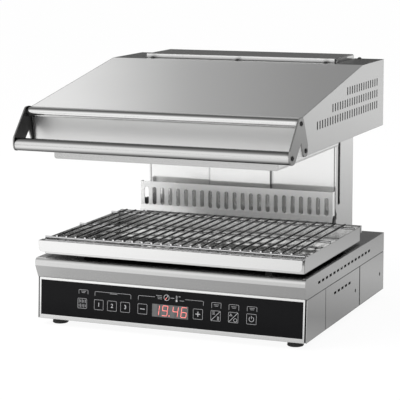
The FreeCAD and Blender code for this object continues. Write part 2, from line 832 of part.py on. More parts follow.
def make_tray():
    """Drip tray with a bent pull lip in front, on two runners and against a stop rail."""
    tray = new_body("drip_tray")
    pad(tray, "XY", "tray_low", "tray_high",
        rectangle("-tray_half", "tray_half", "tray_front", "tray_rear"))
    round_edges(tray, "tray_corner", lambda edge: runs_along(edge, "z"))
    hollow(tray, "sheet", facing("z", 1))
    plate = new_body("tray_front_plate")
    lip_back = "tray_lip_front + sheet"
    lip_under = "tray_high - sheet"
    root_low = "tray_high - tray_lip_root"
    pad(plate, "YZ", "-tray_lip_half", "tray_lip_half", polygon(
        ("tray_lip_front", "tray_lip_low"), (lip_back, "tray_lip_low"), (lip_back, lip_under),
        ("tray_front - sheet", lip_under), ("tray_front - sheet", root_low), ("tray_front", root_low),
        ("tray_front", "tray_high"), ("tray_lip_front", "tray_high")))
    round_edges(plate, "tray_lip_corner", lambda edge: runs_along(edge, "y")
                and near(edge.CenterOfMass.z, "tray_lip_low"))
    runners = []
    for name, middle in (("runner_left", "-tray_half + runner_inset"),
                         ("runner_right", "tray_half - runner_inset")):
        runners.append(block(name, f"{middle} - runner_width / 2", f"{middle} + runner_width / 2",
                             "tray_front + runner_width", "stop_front", "cap_top",
                             "cap_top + runner_height"))
    group("tray_runners", runners)
    rail = new_body("tray_stop_rail")
    head_low = "tray_high + stop_rise - stop_head"
    pad(rail, "YZ", "-tray_half", "tray_half",
        rectangle("stop_front", "stop_front + stop_depth", head_low, "tray_high + stop_rise"))
    pad(rail, "YZ", "-tray_half + stop_web_inset", "tray_half - stop_web_inset",
        rectangle("stop_front + stop_depth - stop_web", "stop_front + stop_depth", "cap_top", head_low))


def make_grid():
    """Wire grid: long rods welded on cross rods that lie on the tray's rim."""
    body = new_body("grill_grid")
    cross = pad(body, "YZ", "-cross_rod_half", "cross_rod_half",
                disc("grid_front + cross_rod_radius", "cross_rod_height", "cross_rod_radius"))
    rod = pad(body, "XZ", "grid_front", "grid_rear", disc("-rod_half", "rod_height", "rod_radius"))
    repeat(body, rod, "X", "rod_spacing", "rod_count")
    repeat(body, cross, "Y", "cross_rod_spacing", "cross_rod_count")


def make_guard():
    """Slotted guard with a lip and end flanges, and the two arms that swing it on pins."""
    body = new_body("plate_guard")
    pad(body, "YZ", "-guard_half", "guard_half", polygon(
        ("guard_face - guard_lip_reach", "guard_low"), ("guard_back - guard_lip_reach", "guard_low"),
        ("guard_back", "guard_bend"), ("guard_back", "guard_high"), ("guard_face", "guard_high"),
        ("guard_face", "guard_bend")))
    for start, end in (("-guard_half", "-arm_outer"), ("arm_outer", "guard_half")):
        pad(body, "YZ", start, end, rectangle(
            "guard_back", "guard_back + guard_flange", "guard_bend", "guard_high"))
    slot_low = "guard_low + guard_slot_low + guard_slot_radius"
    slot_high = "guard_low + guard_slot_low + guard_slot_length - guard_slot_radius"
    slot = pocket(body, "XZ", "guard_face - sheet", "guard_back + sheet", oblong(
        "-guard_slot_half", slot_low, slot_high, "guard_slot_radius"))
    repeat(body, slot, "X", "guard_slot_spacing", "guard_slot_count")
    arms = []
    for name, start, end in (("left", "-arm_outer", "-arm_inner"), ("right", "arm_inner", "arm_outer")):
        arm = new_body(f"guard_arm_{name}")
        pad(arm, "YZ", start, end, polygon(
            ("guard_back", "guard_bend"), ("pivot_rear", "pivot_height - pivot_boss"),
            ("pivot_rear + pivot_boss", "pivot_height - pivot_boss"),
            ("pivot_rear + pivot_boss", "pivot_height + pivot_boss"),
            ("guard_back + guard_flange", "pivot_height + arm_rise"),
            ("guard_back", "pivot_height + arm_rise")))
        round_edges(arm, "pivot_boss / 2", lambda edge: runs_along(edge, "x")
                    and edge.CenterOfMass.y > value("pivot_rear") + value("pin_radius"))
        pocket(arm, "YZ", f"{start} - sheet", f"{end} + sheet",
               disc("pivot_rear", "pivot_height", "pin_radius + pin_play"))
        arms.append(arm)
    group("guard_arms", arms)


def make_guard_bracket(label, inner, outer, foot_inner, foot_outer):
    """Bracket on the base that carries a guard pin."""
    body = new_body(label)
    pad(body, "YZ", inner, outer, polygon(
        ("bracket_front", "cap_top"), ("column_front - sheet", "cap_top"),
        ("column_front - sheet", "pivot_height + pivot_boss"), ("pivot_rear", "bracket_top"),
        ("pivot_rear - switch_depth", "bracket_top"),
        ("pivot_rear - switch_depth", "pivot_height + pivot_boss"),
        ("bracket_front", "pivot_height - pivot_boss")))
    pad(body, "XY", "cap_top", "cap_top + bracket_thickness",
        rectangle(foot_inner, foot_outer, "bracket_front", "column_front - sheet"))
    pocket(body, "YZ", f"{inner} - sheet", f"{outer} + sheet",
           disc("pivot_rear", "pivot_height", "pin_radius + pin_play / 2"))


def make_guard_supports():
    """Brackets, pins and the switch that the guard presses."""
    make_guard_bracket("guard_bracket_left", "-bracket_outer", "-bracket_inner",
                       "-bracket_inner", "-bracket_inner + bracket_foot")
    make_guard_bracket("guard_bracket_right", "bracket_inner", "bracket_outer",
                       "bracket_inner - bracket_foot", "bracket_inner")
    pins = [
        bar("guard_pin_left", "YZ", "-guard_half", "-bracket_inner", "pivot_rear", "pivot_height",
            "pin_radius"),
        bar("guard_pin_right", "YZ", "bracket_inner", "guard_half", "pivot_rear", "pivot_height",
            "pin_radius"),
    ]
    group("guard_pins", pins)
    switch = block("guard_switch", "-bracket_inner", "-bracket_inner + switch_width",
                   "guard_back + switch_gap + sheet", "pivot_rear - pin_radius",
                   "bracket_top - switch_height", "bracket_top")
    middle = "-bracket_inner + switch_width / 2"
    pad(switch, "XZ", "guard_back + switch_gap", "guard_back + switch_gap + sheet",
        disc(middle, "bracket_top - switch_height / 4", "pin_radius / 2"))


def make_column():
    """Column shell with a slot in each side and grooved front, raised centre cover, rear cover and cap."""
    shell = new_body("column_shell")
    inner = "column_half - sheet"
    rear = "base_rear - sheet"
    pad(shell, "XY", "cap_top", "column_top", polygon(
        ("-column_half", rear), ("-column_half", "column_front"), ("column_half", "column_front"),
        ("column_half", rear), (inner, rear), (inner, "column_front + sheet"),
        (f"-({inner})", "column_front + sheet"), (f"-({inner})", rear)))
    pocket(shell, "YZ", "-column_half - sheet", "column_half + sheet",
           rectangle("slot_front", "slot_front + slot_width", "slot_low", "slot_high"))
    for middle in ("-column_half + groove_inset", "column_half - groove_inset"):
        pocket(shell, "XZ", "column_front - sheet", "column_front + groove_depth", rectangle(
            f"{middle} - groove_width / 2", f"{middle} + groove_width / 2", "cap_top - sheet",
            "column_top + sheet"))
    cover = new_body("column_centre_cover")
    half = "centre_cover_width / 2"
    wall = f"{half} - sheet"
    pad(cover, "XY", "cap_top", "column_top", polygon(
        (f"-{half}", "column_front"), (f"-{half}", "centre_front"), (half, "centre_front"),
        (half, "column_front"),
        (wall, "column_front"), (wall, "centre_front + sheet"), (f"-({wall})", "centre_front + sheet"),
        (f"-({wall})", "column_front")))
    block("column_rear_cover", "-column_half", "column_half", rear, "base_rear", "cap_top", "column_top")
    cap = new_body("column_cap")
    cap_high = "column_top + sheet"
    pad(cap, "YZ", "-column_half + cap_end_inset", "column_half - cap_end_inset", polygon(
        ("column_cap_front", "hood_high + stop_gap"), ("column_cap_front + sheet", "hood_high + stop_gap"),
        ("column_cap_front + sheet", "column_top"), ("base_rear", "column_top"), ("base_rear", cap_high),
        ("column_cap_front", cap_high)))


def make_guides():
    """Guide rods between two brackets, and the gas spring cylinders beside them."""
    inner = "column_half - sheet - seam"
    front = "column_front + sheet + seam"
    rear = "base_rear - sheet - seam"
    block("rod_bracket_lower", f"-({inner})", inner, front, rear, "cap_top", "guide_low")
    block("rod_bracket_upper", f"-({inner})", inner, front, rear, "guide_high", "column_top")
    rods = []
    cylinders = []
    for name, side in (("left", "-"), ("right", "")):
        rods.append(bar(f"guide_rod_{name}", "XY", "guide_low", "guide_high", side + "guide_half",
                        "guide_rear",
                        "guide_radius"))
        cylinder = turned(f"spring_cylinder_{name}", "XZ", "V_Axis", polygon(
            ("0", "guide_low"), ("spring_radius", "guide_low"), ("spring_radius", "spring_top"),
            ("spring_rod_radius + bush_play", "spring_top"),
            ("spring_rod_radius + bush_play", "spring_top - 2 * spring_wall"),
            ("spring_radius - spring_wall", "spring_top - 2 * spring_wall"),
            ("spring_radius - spring_wall", "guide_low + spring_wall"), ("0", "guide_low + spring_wall")))
        cylinders.append(place(cylinder, side + "spring_half", "guide_rear"))
    group("guide_rods", rods)
    group("spring_cylinders", cylinders)


def make_carriage():
    """Cross beam that carries the hood, with bush blocks on the guide rods and tabs for the gas springs."""
    beam = new_body("lift_beam")
    inner = "beam_half - beam_thickness"
    flange = "beam_front + beam_flange"
    pad(beam, "XY", "beam_low", "beam_high", polygon(
        ("-beam_half", "beam_front"), ("beam_half", "beam_front"), ("beam_half", flange), (inner, flange),
        (inner, "beam_back"), (f"-({inner})", "beam_back"), (f"-({inner})", flange),
        ("-beam_half", flange)))
    for side in ("-spring_half", "spring_half"):
        pad(beam, "XY", "spring_tab_low", "beam_high", rectangle(
            f"{side} - spring_radius", f"{side} + spring_radius", "beam_front",
            "guide_rear + spring_radius"))
    blocks = []
    bushes = []
    rods = []
    for name, side in (("left", "-guide_half"), ("right", "guide_half")):
        carrier = block(f"bush_block_{name}", f"{side} - block_half", f"{side} + block_half", "beam_back",
                        "guide_rear + block_half", "beam_low", "beam_high")
        pocket(carrier, "XY", "beam_low - sheet", "beam_high + sheet",
               disc(side, "guide_rear", "bush_radius"))
        blocks.append(carrier)
        for level, low in (("low", "beam_low"), ("high", "beam_high - bush_length")):
            bush = turned(f"guide_bush_{name}_{level}", "XZ", "V_Axis", rectangle(
                "guide_radius + bush_play", "bush_radius", low, f"{low} + bush_length"))
            bushes.append(place(bush, side, "guide_rear"))
    for name, side in (("left", "-spring_half"), ("right", "spring_half")):
        rods.append(bar(f"spring_rod_{name}", "XY", "spring_top - spring_overlap", "spring_tab_low", side,
                        "guide_rear", "spring_rod_radius"))
    group("bush_blocks", blocks)
    group("guide_bushes", bushes)
    group("spring_rods", rods)


def make_hood_skin():
    """Bent sheet over the top, slope and front of the hood, cut out for the column."""
    body = new_body("hood_skin")
    pad(body, "YZ", "-beam_half", "beam_half", polygon(
        ("hood_rear", "hood_low"), ("hood_rear", "hood_high"), ("hood_flat_front", "hood_high"),
        ("hood_front", "hood_brow"), ("hood_foot", "hood_low")))
    round_edges(body, "hood_bend", lambda edge: runs_along(edge, "x") and (
        near(edge.CenterOfMass.y, "hood_flat_front") or near(edge.CenterOfMass.y, "hood_front")))
    hollow(body, "sheet", lambda face: abs(face.normalAt(0, 0).x) > 0.99 or face.normalAt(0, 0).y > 0.99
           or face.normalAt(0, 0).z < -0.99)
    pocket(body, "XY", "hood_high - 2 * sheet", "hood_high + sheet",
           rectangle("-top_opening_half", "top_opening_half", "top_opening_front", "hood_rear + sheet"))


def make_hood_side(label, inner, outer, flange_low, flange_high):
    """Side of the hood with three rows of vents and a flange along its rear edge."""
    body = new_body(label)
    pad(body, "YZ", inner, outer, polygon(
        ("hood_rear", "hood_low"), ("hood_rear", "hood_high"), ("hood_flat_front", "hood_high"),
        ("hood_front", "hood_brow"), ("hood_foot", "hood_low")))
    pad(body, "XZ", "hood_rear - sheet", "hood_rear", rectangle(
        flange_low, flange_high, "hood_low + sheet", "hood_high - sheet"))
    middle = "hood_rear - hood_vent_rear"
    for row in range(int(value("hood_vent_rows"))):
        low = f"hood_low + hood_vent_rise + {row} * hood_vent_step"
        vent = pocket(body, "YZ", f"{inner} - sheet", f"{outer} + sheet", rectangle(
            f"{middle} - hood_vent_width / 2", f"{middle} + hood_vent_width / 2",
            low, f"{low} + hood_vent_height"))
        repeat(body, vent, "Y", "hood_vent_spacing", f"hood_vent_count - {row} * hood_vent_fewer",
               backwards=True)


def make_hood_bottom():
    """Bottom plate of the hood, open over the heater and round the column and guard."""
    body = new_body("hood_bottom")
    front = "hood_foot + 2 * sheet"
    pad(body, "XY", "hood_low", "hood_low + sheet",
        rectangle("-beam_half", "beam_half", front, "hood_rear - sheet"))
    low = "hood_low - sheet"
    high = "hood_low + 2 * sheet"
    pocket(body, "XY", low, high, rectangle(
        "-ceramic_half", "ceramic_half", "pan_front + dish_inset - dish_gap",
        "pan_rear - dish_inset + dish_gap"))
    pocket(body, "XY", low, high, rectangle(
        "-hood_opening_half", "hood_opening_half", "hood_opening_front", "hood_rear + sheet"))


def make_buffers():
    """Small rubber domes on the hood's top round the column's cap."""
    spots = [(across, "column_cap_front - buffer_lead") for across in
             ("-column_half + buffer_inset", "0", "column_half - buffer_inset")]
    rear_side = "column_half + column_gap + buffer_side_gap"
    spots += [(across, "hood_rear - buffer_rear_inset") for across in (f"-({rear_side})", rear_side)]
    domes = []
    for number, (across, back) in enumerate(spots, start=1):
        dome = turned(f"buffer_{number}", "XZ", "V_Axis", polygon(
            ("0", "0"), ("buffer_radius", "0"), ("buffer_radius", "buffer_height / 3"),
            ("buffer_radius / 2", "buffer_height"), ("0", "buffer_height")))
        domes.append(place(dome, across, back, "hood_high"))
    group("hood_buffers", domes)


def make_heater_pan():
    """Pan with rounded lower corners, open in its floor, and the ceramic glass on its ledge."""
    pan = new_body("heater_pan")
    pad(pan, "XZ", "pan_front", "pan_rear", rectangle("-pan_half", "pan_half", "pan_low", "hood_low"))
    round_edges(pan, "pan_corner", lambda edge: runs_along(edge, "y")
                and near(edge.CenterOfMass.z, "pan_low"))
    hollow(pan, "sheet", facing("z", 1))
    pocket(pan, "XY", "pan_low - sheet", "pan_low + 2 * sheet", rectangle(
        "-pan_half + pan_ledge", "pan_half - pan_ledge", "pan_front + pan_ledge", "pan_rear - pan_ledge"))
    block("ceramic_glass", "-ceramic_half", "ceramic_half", "pan_front + 2 * sheet", "pan_rear - 2 * sheet",
          "ceramic_low", "dish_low")


def serpentine(left, right, front, rear):
    """Drawing of a flat ribbon that runs to and fro in pairs of legs."""
    pairs = int(value("ribbon_pairs"))
    pitch = f"(({rear}) - ({front}) - ribbon_width) / (2 * ribbon_pairs - 1)"
    low = [f"{front} + {leg} * ({pitch})" for leg in range(2 * pairs)]
    high = [f"{edge} + ribbon_width" for edge in low]
    inner_left = f"{left} + ribbon_width"
    inner_right = f"{right} - ribbon_width"
    outward = []
    homeward = []
    for pair in range(pairs):
        first = 2 * pair
        second = first + 1
        start = left if pair == 0 else inner_left
        finish = left if pair == pairs - 1 else inner_left
        outward += [(start, low[first]), (right, low[first]), (right, high[second]), (finish, high[second])]
        homeward = [(left, low[second]), (inner_right, low[second]), (inner_right, high[first]),
                    (left, high[first])] + homeward
    return polygon(*outward, *homeward)


def make_heating():
    """Three fibre dishes over the glass, a ribbon in each, and the insulation on top."""
    dishes = []
    ribbons = []
    for zone in range(int(value("dish_count"))):
        left = f"-dish_half + {zone} * (dish_width + dish_gap)"
        right = f"{left} + dish_width"
        dish = block(f"dish_{zone + 1}", left, right, "dish_front", "dish_rear", "dish_low", "dish_high")
        pocket(dish, "XY", "dish_low - sheet", "dish_low + dish_recess", rectangle(
            f"{left} + dish_wall", f"{right} - dish_wall", "dish_front + dish_wall",
            "dish_rear - dish_wall"))
        dishes.append(dish)
        inset = "(dish_wall + ribbon_margin)"
        strip = new_body(f"ribbon_{zone + 1}")
        roof = "dish_low + dish_recess"
        pad(strip, "XY", f"{roof} - ribbon_thickness", roof, serpentine(
            f"{left} + {inset}", f"{right} - {inset}", f"dish_front + {inset}", f"dish_rear - {inset}"))
        ribbons.append(strip)
    group("heater_dishes", dishes)
    group("heater_ribbons", ribbons)
    block("insulation_board", "-dish_half", "dish_half", "dish_front", "dish_rear", "dish_high",
          "dish_high + insulation_thickness")


def at_grip(edge):
    """Whether an edge of a handle plate lies at its front end, around the grip bar."""
    return edge.CenterOfMass.y < value("grip_front") + 2 * value("grip_round")


def make_handle():
    """Two chevron plates with a top bar and a grip bar between them, held by socket-head screws."""
    outline = polygon(
        ("bar_front - plate_round", "bar_height + plate_round"),
        ("bar_front + plate_round", "bar_height + plate_round"),
        ("anchor_rear + plate_round", "anchor_height + plate_round"),
        ("anchor_rear + plate_round", "anchor_height - plate_round"),
        ("anchor_rear - plate_round", "anchor_height - plate_round"),
        ("bar_front", "grip_height + notch_rise"),
        ("grip_front + grip_round", "grip_height - grip_round"),
        ("grip_front - grip_round", "grip_height - grip_round"),
        ("grip_front - grip_round", "grip_height + grip_round"))
    for label, inner, outer in (("handle_plate_left", "-handle_outer", "-hood_half"),
                                ("handle_plate_right", "hood_half", "handle_outer")):
        body = new_body(label)
        pad(body, "YZ", inner, outer, outline)
        round_edges(body, "plate_round - seam", lambda edge: runs_along(edge, "x")
                    and not at_grip(edge) and not near(edge.CenterOfMass.y, "bar_front"))
        round_edges(body, "grip_round - seam", lambda edge: runs_along(edge, "x") and at_grip(edge))
        round_edges(body, "notch_round", lambda edge: runs_along(edge, "x")
                    and near(edge.CenterOfMass.y, "bar_front"))
    bar("handle_top_bar", "YZ", "-hood_half", "hood_half", "bar_front", "bar_height", "bar_radius")
    bar("handle_grip_bar", "YZ", "-hood_half", "hood_half", "grip_front", "grip_height", "grip_radius")
    screws = []
    spots = (("bar_front", "bar_height"), ("grip_front", "grip_height"), ("anchor_rear", "anchor_height"))
    for name, start, end in (("left", "-handle_outer - handle_screw_head", "-handle_outer"),
                             ("right", "handle_outer", "handle_outer + handle_screw_head")):
        for number, (back, up) in enumerate(spots, start=1):
            screws.append(bar(f"handle_screw_{name}_{number}", "YZ", start, end, back, up,
                              "handle_screw_radius"))
    group("handle_screws", screws)


def write_parts():
    """Check every object and each piece, then write one file for each piece."""
    doc.recompute()
    failed = [thing.Label for thing in doc.Objects if {"Invalid", "Error"} & set(thing.State)]
    if failed:
        raise RuntimeError(f"failed objects: {failed}")
    for part in sub_parts:
        if part.Shape.isNull() or not part.Shape.isValid() or not part.Shape.Solids:
            raise RuntimeError(f"bad shape: {part.Label}")
    os.makedirs("parts", exist_ok=True)
    for part in sub_parts:
        part.Shape.exportStep(f"parts/{part.Label}.step")


make_base_pan()
make_base_cap()
make_base_rear_panel()
make_service_covers()
make_feet()
make_control_panel()
make_base_electrics()
make_tray()
make_grid()
make_guard()
make_guard_supports()
make_column()
make_guides()
make_carriage()
make_hood_skin()
make_hood_side("hood_side_left", "-hood_half", "-beam_half", "-beam_half", "-top_opening_half")
make_hood_side("hood_side_right", "beam_half", "hood_half", "top_opening_half", "beam_half")
make_hood_bottom()
make_buffers()
make_heater_pan()
make_heating()
make_terminal_block("hood_terminal_block", "beam_half - terminal_spacing * hood_terminal_count - dish_gap",
                    "hood_opening_front - 2 * terminal_length", "hood_low + sheet", "hood_terminal_count")
make_handle()
write_parts()
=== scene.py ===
"""Looks of a lift-hood salamander grill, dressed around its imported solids."""
import math

import bmesh
import bpy
from mathutils import Matrix, Vector


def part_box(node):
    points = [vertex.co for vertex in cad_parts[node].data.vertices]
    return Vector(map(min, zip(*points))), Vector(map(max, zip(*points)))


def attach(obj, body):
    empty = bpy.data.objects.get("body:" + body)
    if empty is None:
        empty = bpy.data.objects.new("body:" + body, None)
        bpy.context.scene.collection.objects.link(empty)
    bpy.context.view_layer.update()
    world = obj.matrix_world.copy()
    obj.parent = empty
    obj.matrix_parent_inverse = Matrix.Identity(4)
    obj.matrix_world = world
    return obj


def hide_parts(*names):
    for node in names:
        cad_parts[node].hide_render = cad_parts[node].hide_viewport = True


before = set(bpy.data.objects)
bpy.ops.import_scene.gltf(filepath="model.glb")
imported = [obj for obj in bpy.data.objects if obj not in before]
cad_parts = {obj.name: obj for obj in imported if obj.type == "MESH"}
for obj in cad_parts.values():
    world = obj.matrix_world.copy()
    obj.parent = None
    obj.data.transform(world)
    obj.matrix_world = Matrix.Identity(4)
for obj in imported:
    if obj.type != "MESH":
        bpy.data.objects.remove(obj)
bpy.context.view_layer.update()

bl_info = {
    "name": "Salamander grill looks",
    "version": (1, 0, 0),
    "blender": (4, 5, 0),
    "location": "3D View > Sidebar > Grill",
    "description": "Finishes, panel signs, screws and a stage for the packed grill",
    "category": "Object",
}

MM = 0.001
ORIGIN = (0.0, 0.0, 0.0)
WHITE = (1.0, 1.0, 1.0, 1.0)
PHOTO_WIDTH = 400
SENSOR_WIDTH = 36.0

# nodes by finish
FINISH_NODES = {
    "hood_steel": ("hood_skin", "hood_bottom"),
    "cap_steel": ("column_cap",),
    "hood_side_steel": ("hood_side_left", "hood_side_right"),
    "pan_steel": ("heater_pan",),
    "base_steel": ("base_cap", "base_pan", "base_rear_panel", "service_cover_middle", "service_cover_rear",
                   "column_rear_cover"),
    "fascia_steel": ("control_fascia",),
    "column_steel": ("column_shell", "column_centre_cover", "tray_stop_rail"),
    "tray_steel": ("drip_tray",),
    "lip_steel": ("tray_front_plate",),
    "guard_steel": ("plate_guard",),
    "bar_steel": ("handle_top_bar",),
    "grip_steel": ("handle_grip_bar",),
    "plate_steel": ("handle_plate_left", "handle_plate_right"),
    "grid_rod": ("grill_grid",),
    "chromed_rod": ("guide_rods", "spring_rods"),
    "plain_steel": ("lift_beam", "heater_ribbons", "guard_pins", "foot_screws"),
    "black_coat": ("tray_runners", "guard_arms", "guard_bracket_left", "guard_bracket_right",
                   "spring_cylinders"),
    "foot_rubber": ("feet", "hood_buffers"),
    "panel_glass": ("control_glass",),
    "heater_glass": ("ceramic_glass",),
    "board_laminate": ("touch_board", "power_board"),
    "black_plastic": ("display_module", "cable_gland", "gland_nut", "power_relays", "guard_switch"),
    "ivory_plastic": ("mains_terminal_block", "hood_terminal_block"),
    "milled_aluminium": ("rod_bracket_lower", "rod_bracket_upper", "bush_blocks"),
    "turned_brass": ("guide_bushes", "board_standoffs"),
    "pressed_fibre": ("heater_dishes",),
    "mineral_wool": ("insulation_board",),
}

# lit segments of each figure: top, upper right, lower right, bottom, lower left, upper left, middle
FIGURES = {"0": "abcdef", "1": "bc", "2": "abged", "3": "abgcd", "4": "fgbc", "5": "afgcd",
           "6": "afgedc", "7": "abc", "8": "abcdefg", "9": "abcdfg"}
# place of each segment in half widths across and half heights up; those at the sides stand upright
SEGMENTS = {"a": (0, 1), "b": (1, 0.5), "c": (1, -0.5), "d": (0, -1), "e": (-1, -0.5),
            "f": (-1, 0.5), "g": (0, 0)}

# places and sizes on the panel in millimetres, across from its middle and up from the counter
PAD_KEY = -195.4
NUMBER_KEYS = (-157.0, -126.6, -96.2)
MINUS_KEY = -57.0
PLUS_KEY = 67.0
SLASHED_KEYS = (105.9, 144.2)
POWER_KEY = 183.4
NUMBER_SIZE = 12.0
SIGN_LENGTH = 10.4
SIGN_LINE = 1.4
BRACKETS = ((-166.5, -83.0), (-67.0, 79.2))
BRACKET_TOP = 82.0
BRACKET_FOOT = 72.4
BRACKET_GAP = (-29.0, 38.5)
BRACKET_CORNER = 3.0
LABEL_CORNER = 2.0
CLOCK = -3.0
THERMOMETER = 19.4
DISPLAY_PLACE = (5.2, 54.0)
DISPLAY_SIZE = (80.5, 26.4)
FIGURE_PLACES = (-25.0, -6.2, 17.0, 36.0)
FIGURE_RISE = 54.6
# slant of the figures, and shares of a segment's length and width that are drawn and pointed
FIGURE_LEAN = 0.12
SEGMENT_REACH = 0.97
POINTED = 0.49
POINT_PLACE = (3.2, 44.9)
CLOCK_HAND = (-4.4, 79.8)
HAND_TURN = math.radians(-35)
# across, up, width and height of the frames over the keys
LABEL_FRAMES = ((-192.8, 78.7, 21.8, 9.0), (107.1, 75.6, 21.0, 11.6), (145.2, 74.8, 22.0, 11.4),
                (184.4, 74.8, 21.6, 10.0))
# across, up and width of the dashes by the brackets
DASHES = ((-123.5, 79.4, 17.0), (-20.0, 85.0, 13.0), (-18.5, 81.8, 10.0), (-18.0, 78.6, 9.0),
          (31.0, 78.0, 10.0))

# brushing: how finely the streaks are drawn across and along, and a slant for the tangent
ACROSS_STREAKS = 1100.0
ALONG_STREAKS = 10.0
TANGENT_SLANT = (0.03, 0.02, 0.05)
FINE_RELIEF = 0.000002
# painted shade in seams and inner corners: how far a face looks for its neighbours, and how dark the painted
# shade gets between them
CREVICE_SHADE_REACH = 0.008
CREVICE_SHADE_TONE = (0.012,) * 3

# dark strips behind the hood's vents stand for the shade inside the hood
VENT_ROWS = 3
SHADE_STRIP_CORNER = 0.003
# edges round a screw's head: a multiple of the hexagon's 6 and the cross's 12
RIM_EDGES = 48

# corner of the grill on the floor, from its middle
GRILL_CORNER = (0.3, 0.32, 0.0)
FLOOR_RADIUS = 30.0
# how far the floor is white to the camera
FLOOR_WHITE = 0.93
LAMP_SIZE = 2.4
LAMP_PLACE = (-1.4, -1.6, 2.6)
LAMP_TARGET = (0.0, 0.0, 0.2)
# tones that the metal mirrors, where 1 is white
FRONT_TONE = 1.08
LOW_BACK_TONE = 0.06
OVERHEAD_TONE = 0.55
FAR_SIDE_SHARE = 0.6
# soft box behind the grill: its tones from left to right, and where they stand
SOFT_BOX_TONES = (1.06, 0.5, 0.32)
SOFT_BOX_PLACES = (-0.46, -0.395, -0.32)


def colour_setting(name, what, default):
    """Colour that a user may change."""
    return bpy.props.FloatVectorProperty(name=name, description=f"Colour of {what}", subtype="COLOR", size=3,
                                         min=0.0, max=1.0, default=default)


def length_setting(name, description, default):
    """Length in metres that a user may change."""
    return bpy.props.FloatProperty(name=name, description=description, unit="LENGTH", min=0.0,
                                   precision=5, default=default)


def share_setting(name, description, default):
    """Share between 0 and 1 that a user may change."""
    return bpy.props.FloatProperty(name=name, description=description, subtype="FACTOR", min=0.0,
                                   max=1.0, default=default)


def angle_setting(name, description, degrees):
    """Angle that a user may change."""
    return bpy.props.FloatProperty(name=name, description=description, subtype="ANGLE",
                                   default=math.radians(degrees))


class GrillFinishSettings(bpy.types.PropertyGroup):
    """Colours and brushing of the finishes."""

    steel: colour_setting("Steel", "the brushed sheets", (0.66, 0.66, 0.655))
    hood_steel: colour_setting("Hood steel", "the hood's bent sheet", (0.75, 0.75, 0.745))
    bright_steel: colour_setting("Bright steel", "the polished pieces", (0.78, 0.78, 0.775))
    dull_steel: colour_setting("Dull steel", "the plain inner pieces", (0.34, 0.34, 0.335))
    chrome: colour_setting("Chrome", "the chromed rods", (0.8, 0.8, 0.805))
    # painted dark reflection on the tops and sides of the chromed grid rods
    seared_rod: colour_setting("Grid rods", "the rods' painted dark reflection", (0.04,) * 3)
    # painted highlight: steel faces painted lighter as if lit
    tray_floor: colour_setting("Tray floor", "scoured faces", (0.93, 0.93, 0.925))
    shade: colour_setting("Shade", "faces that look away from the light", (0.035,) * 3)
    aluminium: colour_setting("Aluminium", "the milled blocks", (0.7, 0.71, 0.72))
    brass: colour_setting("Brass", "the turned bushes", (0.72, 0.52, 0.22))
    black_coat: colour_setting("Black coat", "the coated brackets", (0.018,) * 3)
    rubber: colour_setting("Rubber", "feet and buffers", (0.022,) * 3)
    black_plastic: colour_setting("Black plastic", "the moulded pieces", (0.025, 0.025, 0.026))
    ivory_plastic: colour_setting("Ivory plastic", "the terminal blocks", (0.7, 0.67, 0.58))
    laminate: colour_setting("Board", "the circuit boards", (0.02, 0.13, 0.05))
    fibre: colour_setting("Fibre", "the heater dishes", (0.8, 0.79, 0.75))
    wool: colour_setting("Wool", "the insulation", (0.16, 0.145, 0.12))
    panel_glass: colour_setting("Panel glass", "the control glass", (0.005, 0.005, 0.0055))
    heater_glass: colour_setting("Heater glass", "the ceramic glass", (0.03, 0.026, 0.025))
    ink: colour_setting("Ink", "the printed signs", (0.44, 0.44, 0.45))
    faint_ink: colour_setting("Faint ink", "the printed lines", (0.26, 0.26, 0.265))
    glow: colour_setting("Glow", "the lit figures", (1.0, 0.22, 0.2))
    window: colour_setting("Window", "the display window", (0.085,) * 3)
    bend: length_setting("Bend radius", "Rounding seen on the edges of the sheets", 0.0012)


class GrillPanelSettings(bpy.types.PropertyGroup):
    """Sizes of the signs on the control glass."""

    reading: bpy.props.IntProperty(name="Reading", description="Number on the display", min=0, max=9999,
                                   default=1946)
    key: length_setting("Key", "Side of a key's outline", 0.0215)
    key_rise: length_setting("Key rise", "Height of the keys' middle above the counter", 0.0541)
    key_corner: length_setting("Key corner", "Rounding of a key's outline", 0.0022)
    line: length_setting("Line", "Width of the printed lines", 0.0008)
    ink: length_setting("Ink", "Thickness of the print", 0.00012)
    figure_height: length_setting("Figure height", "Height of the lit figures", 0.0205)
    figure_width: length_setting("Figure width", "Width of the lit figures", 0.0112)
    figure_line: length_setting("Figure line", "Width of a lit segment", 0.0011)


class GrillScrewSettings(bpy.types.PropertyGroup):
    """Sizes of the screws that the script draws."""

    socket: length_setting("Socket", "Radius over the corners of the hexagon socket", 0.0024)
    socket_depth: length_setting("Socket depth", "Depth of the hexagon socket", 0.0013)
    cross: length_setting("Cross", "Half length of the cross recess", 0.0024)
    cross_depth: length_setting("Cross depth", "Depth of the cross recess", 0.0009)
    chamfer: length_setting("Chamfer", "Chamfer round a screw's head", 0.0005)


class GrillVentSettings(bpy.types.PropertyGroup):
    """Places of the dark strips behind the hood's vents, a painted shade in the hood's hollow."""

    first_rise: length_setting("First rise", "Lower edge of the lowest row above the hood's edge", 0.0395)
    row_step: length_setting("Row step", "Height from one row to the next", 0.0248)
    strip: length_setting("Strip", "Height of a strip of gauze", 0.024)
    rear_gap: length_setting("Rear gap", "From the hood's back to the strips", 0.04)
    longest: length_setting("Longest", "Length of the lowest strip", 0.424)
    shorter: length_setting("Shorter", "How much shorter each higher strip is", 0.0969)
    depth: length_setting("Depth", "How far behind the sheet's face the gauze lies", 0.0026)
    wire: length_setting("Wire", "Thickness of the gauze", 0.0006)


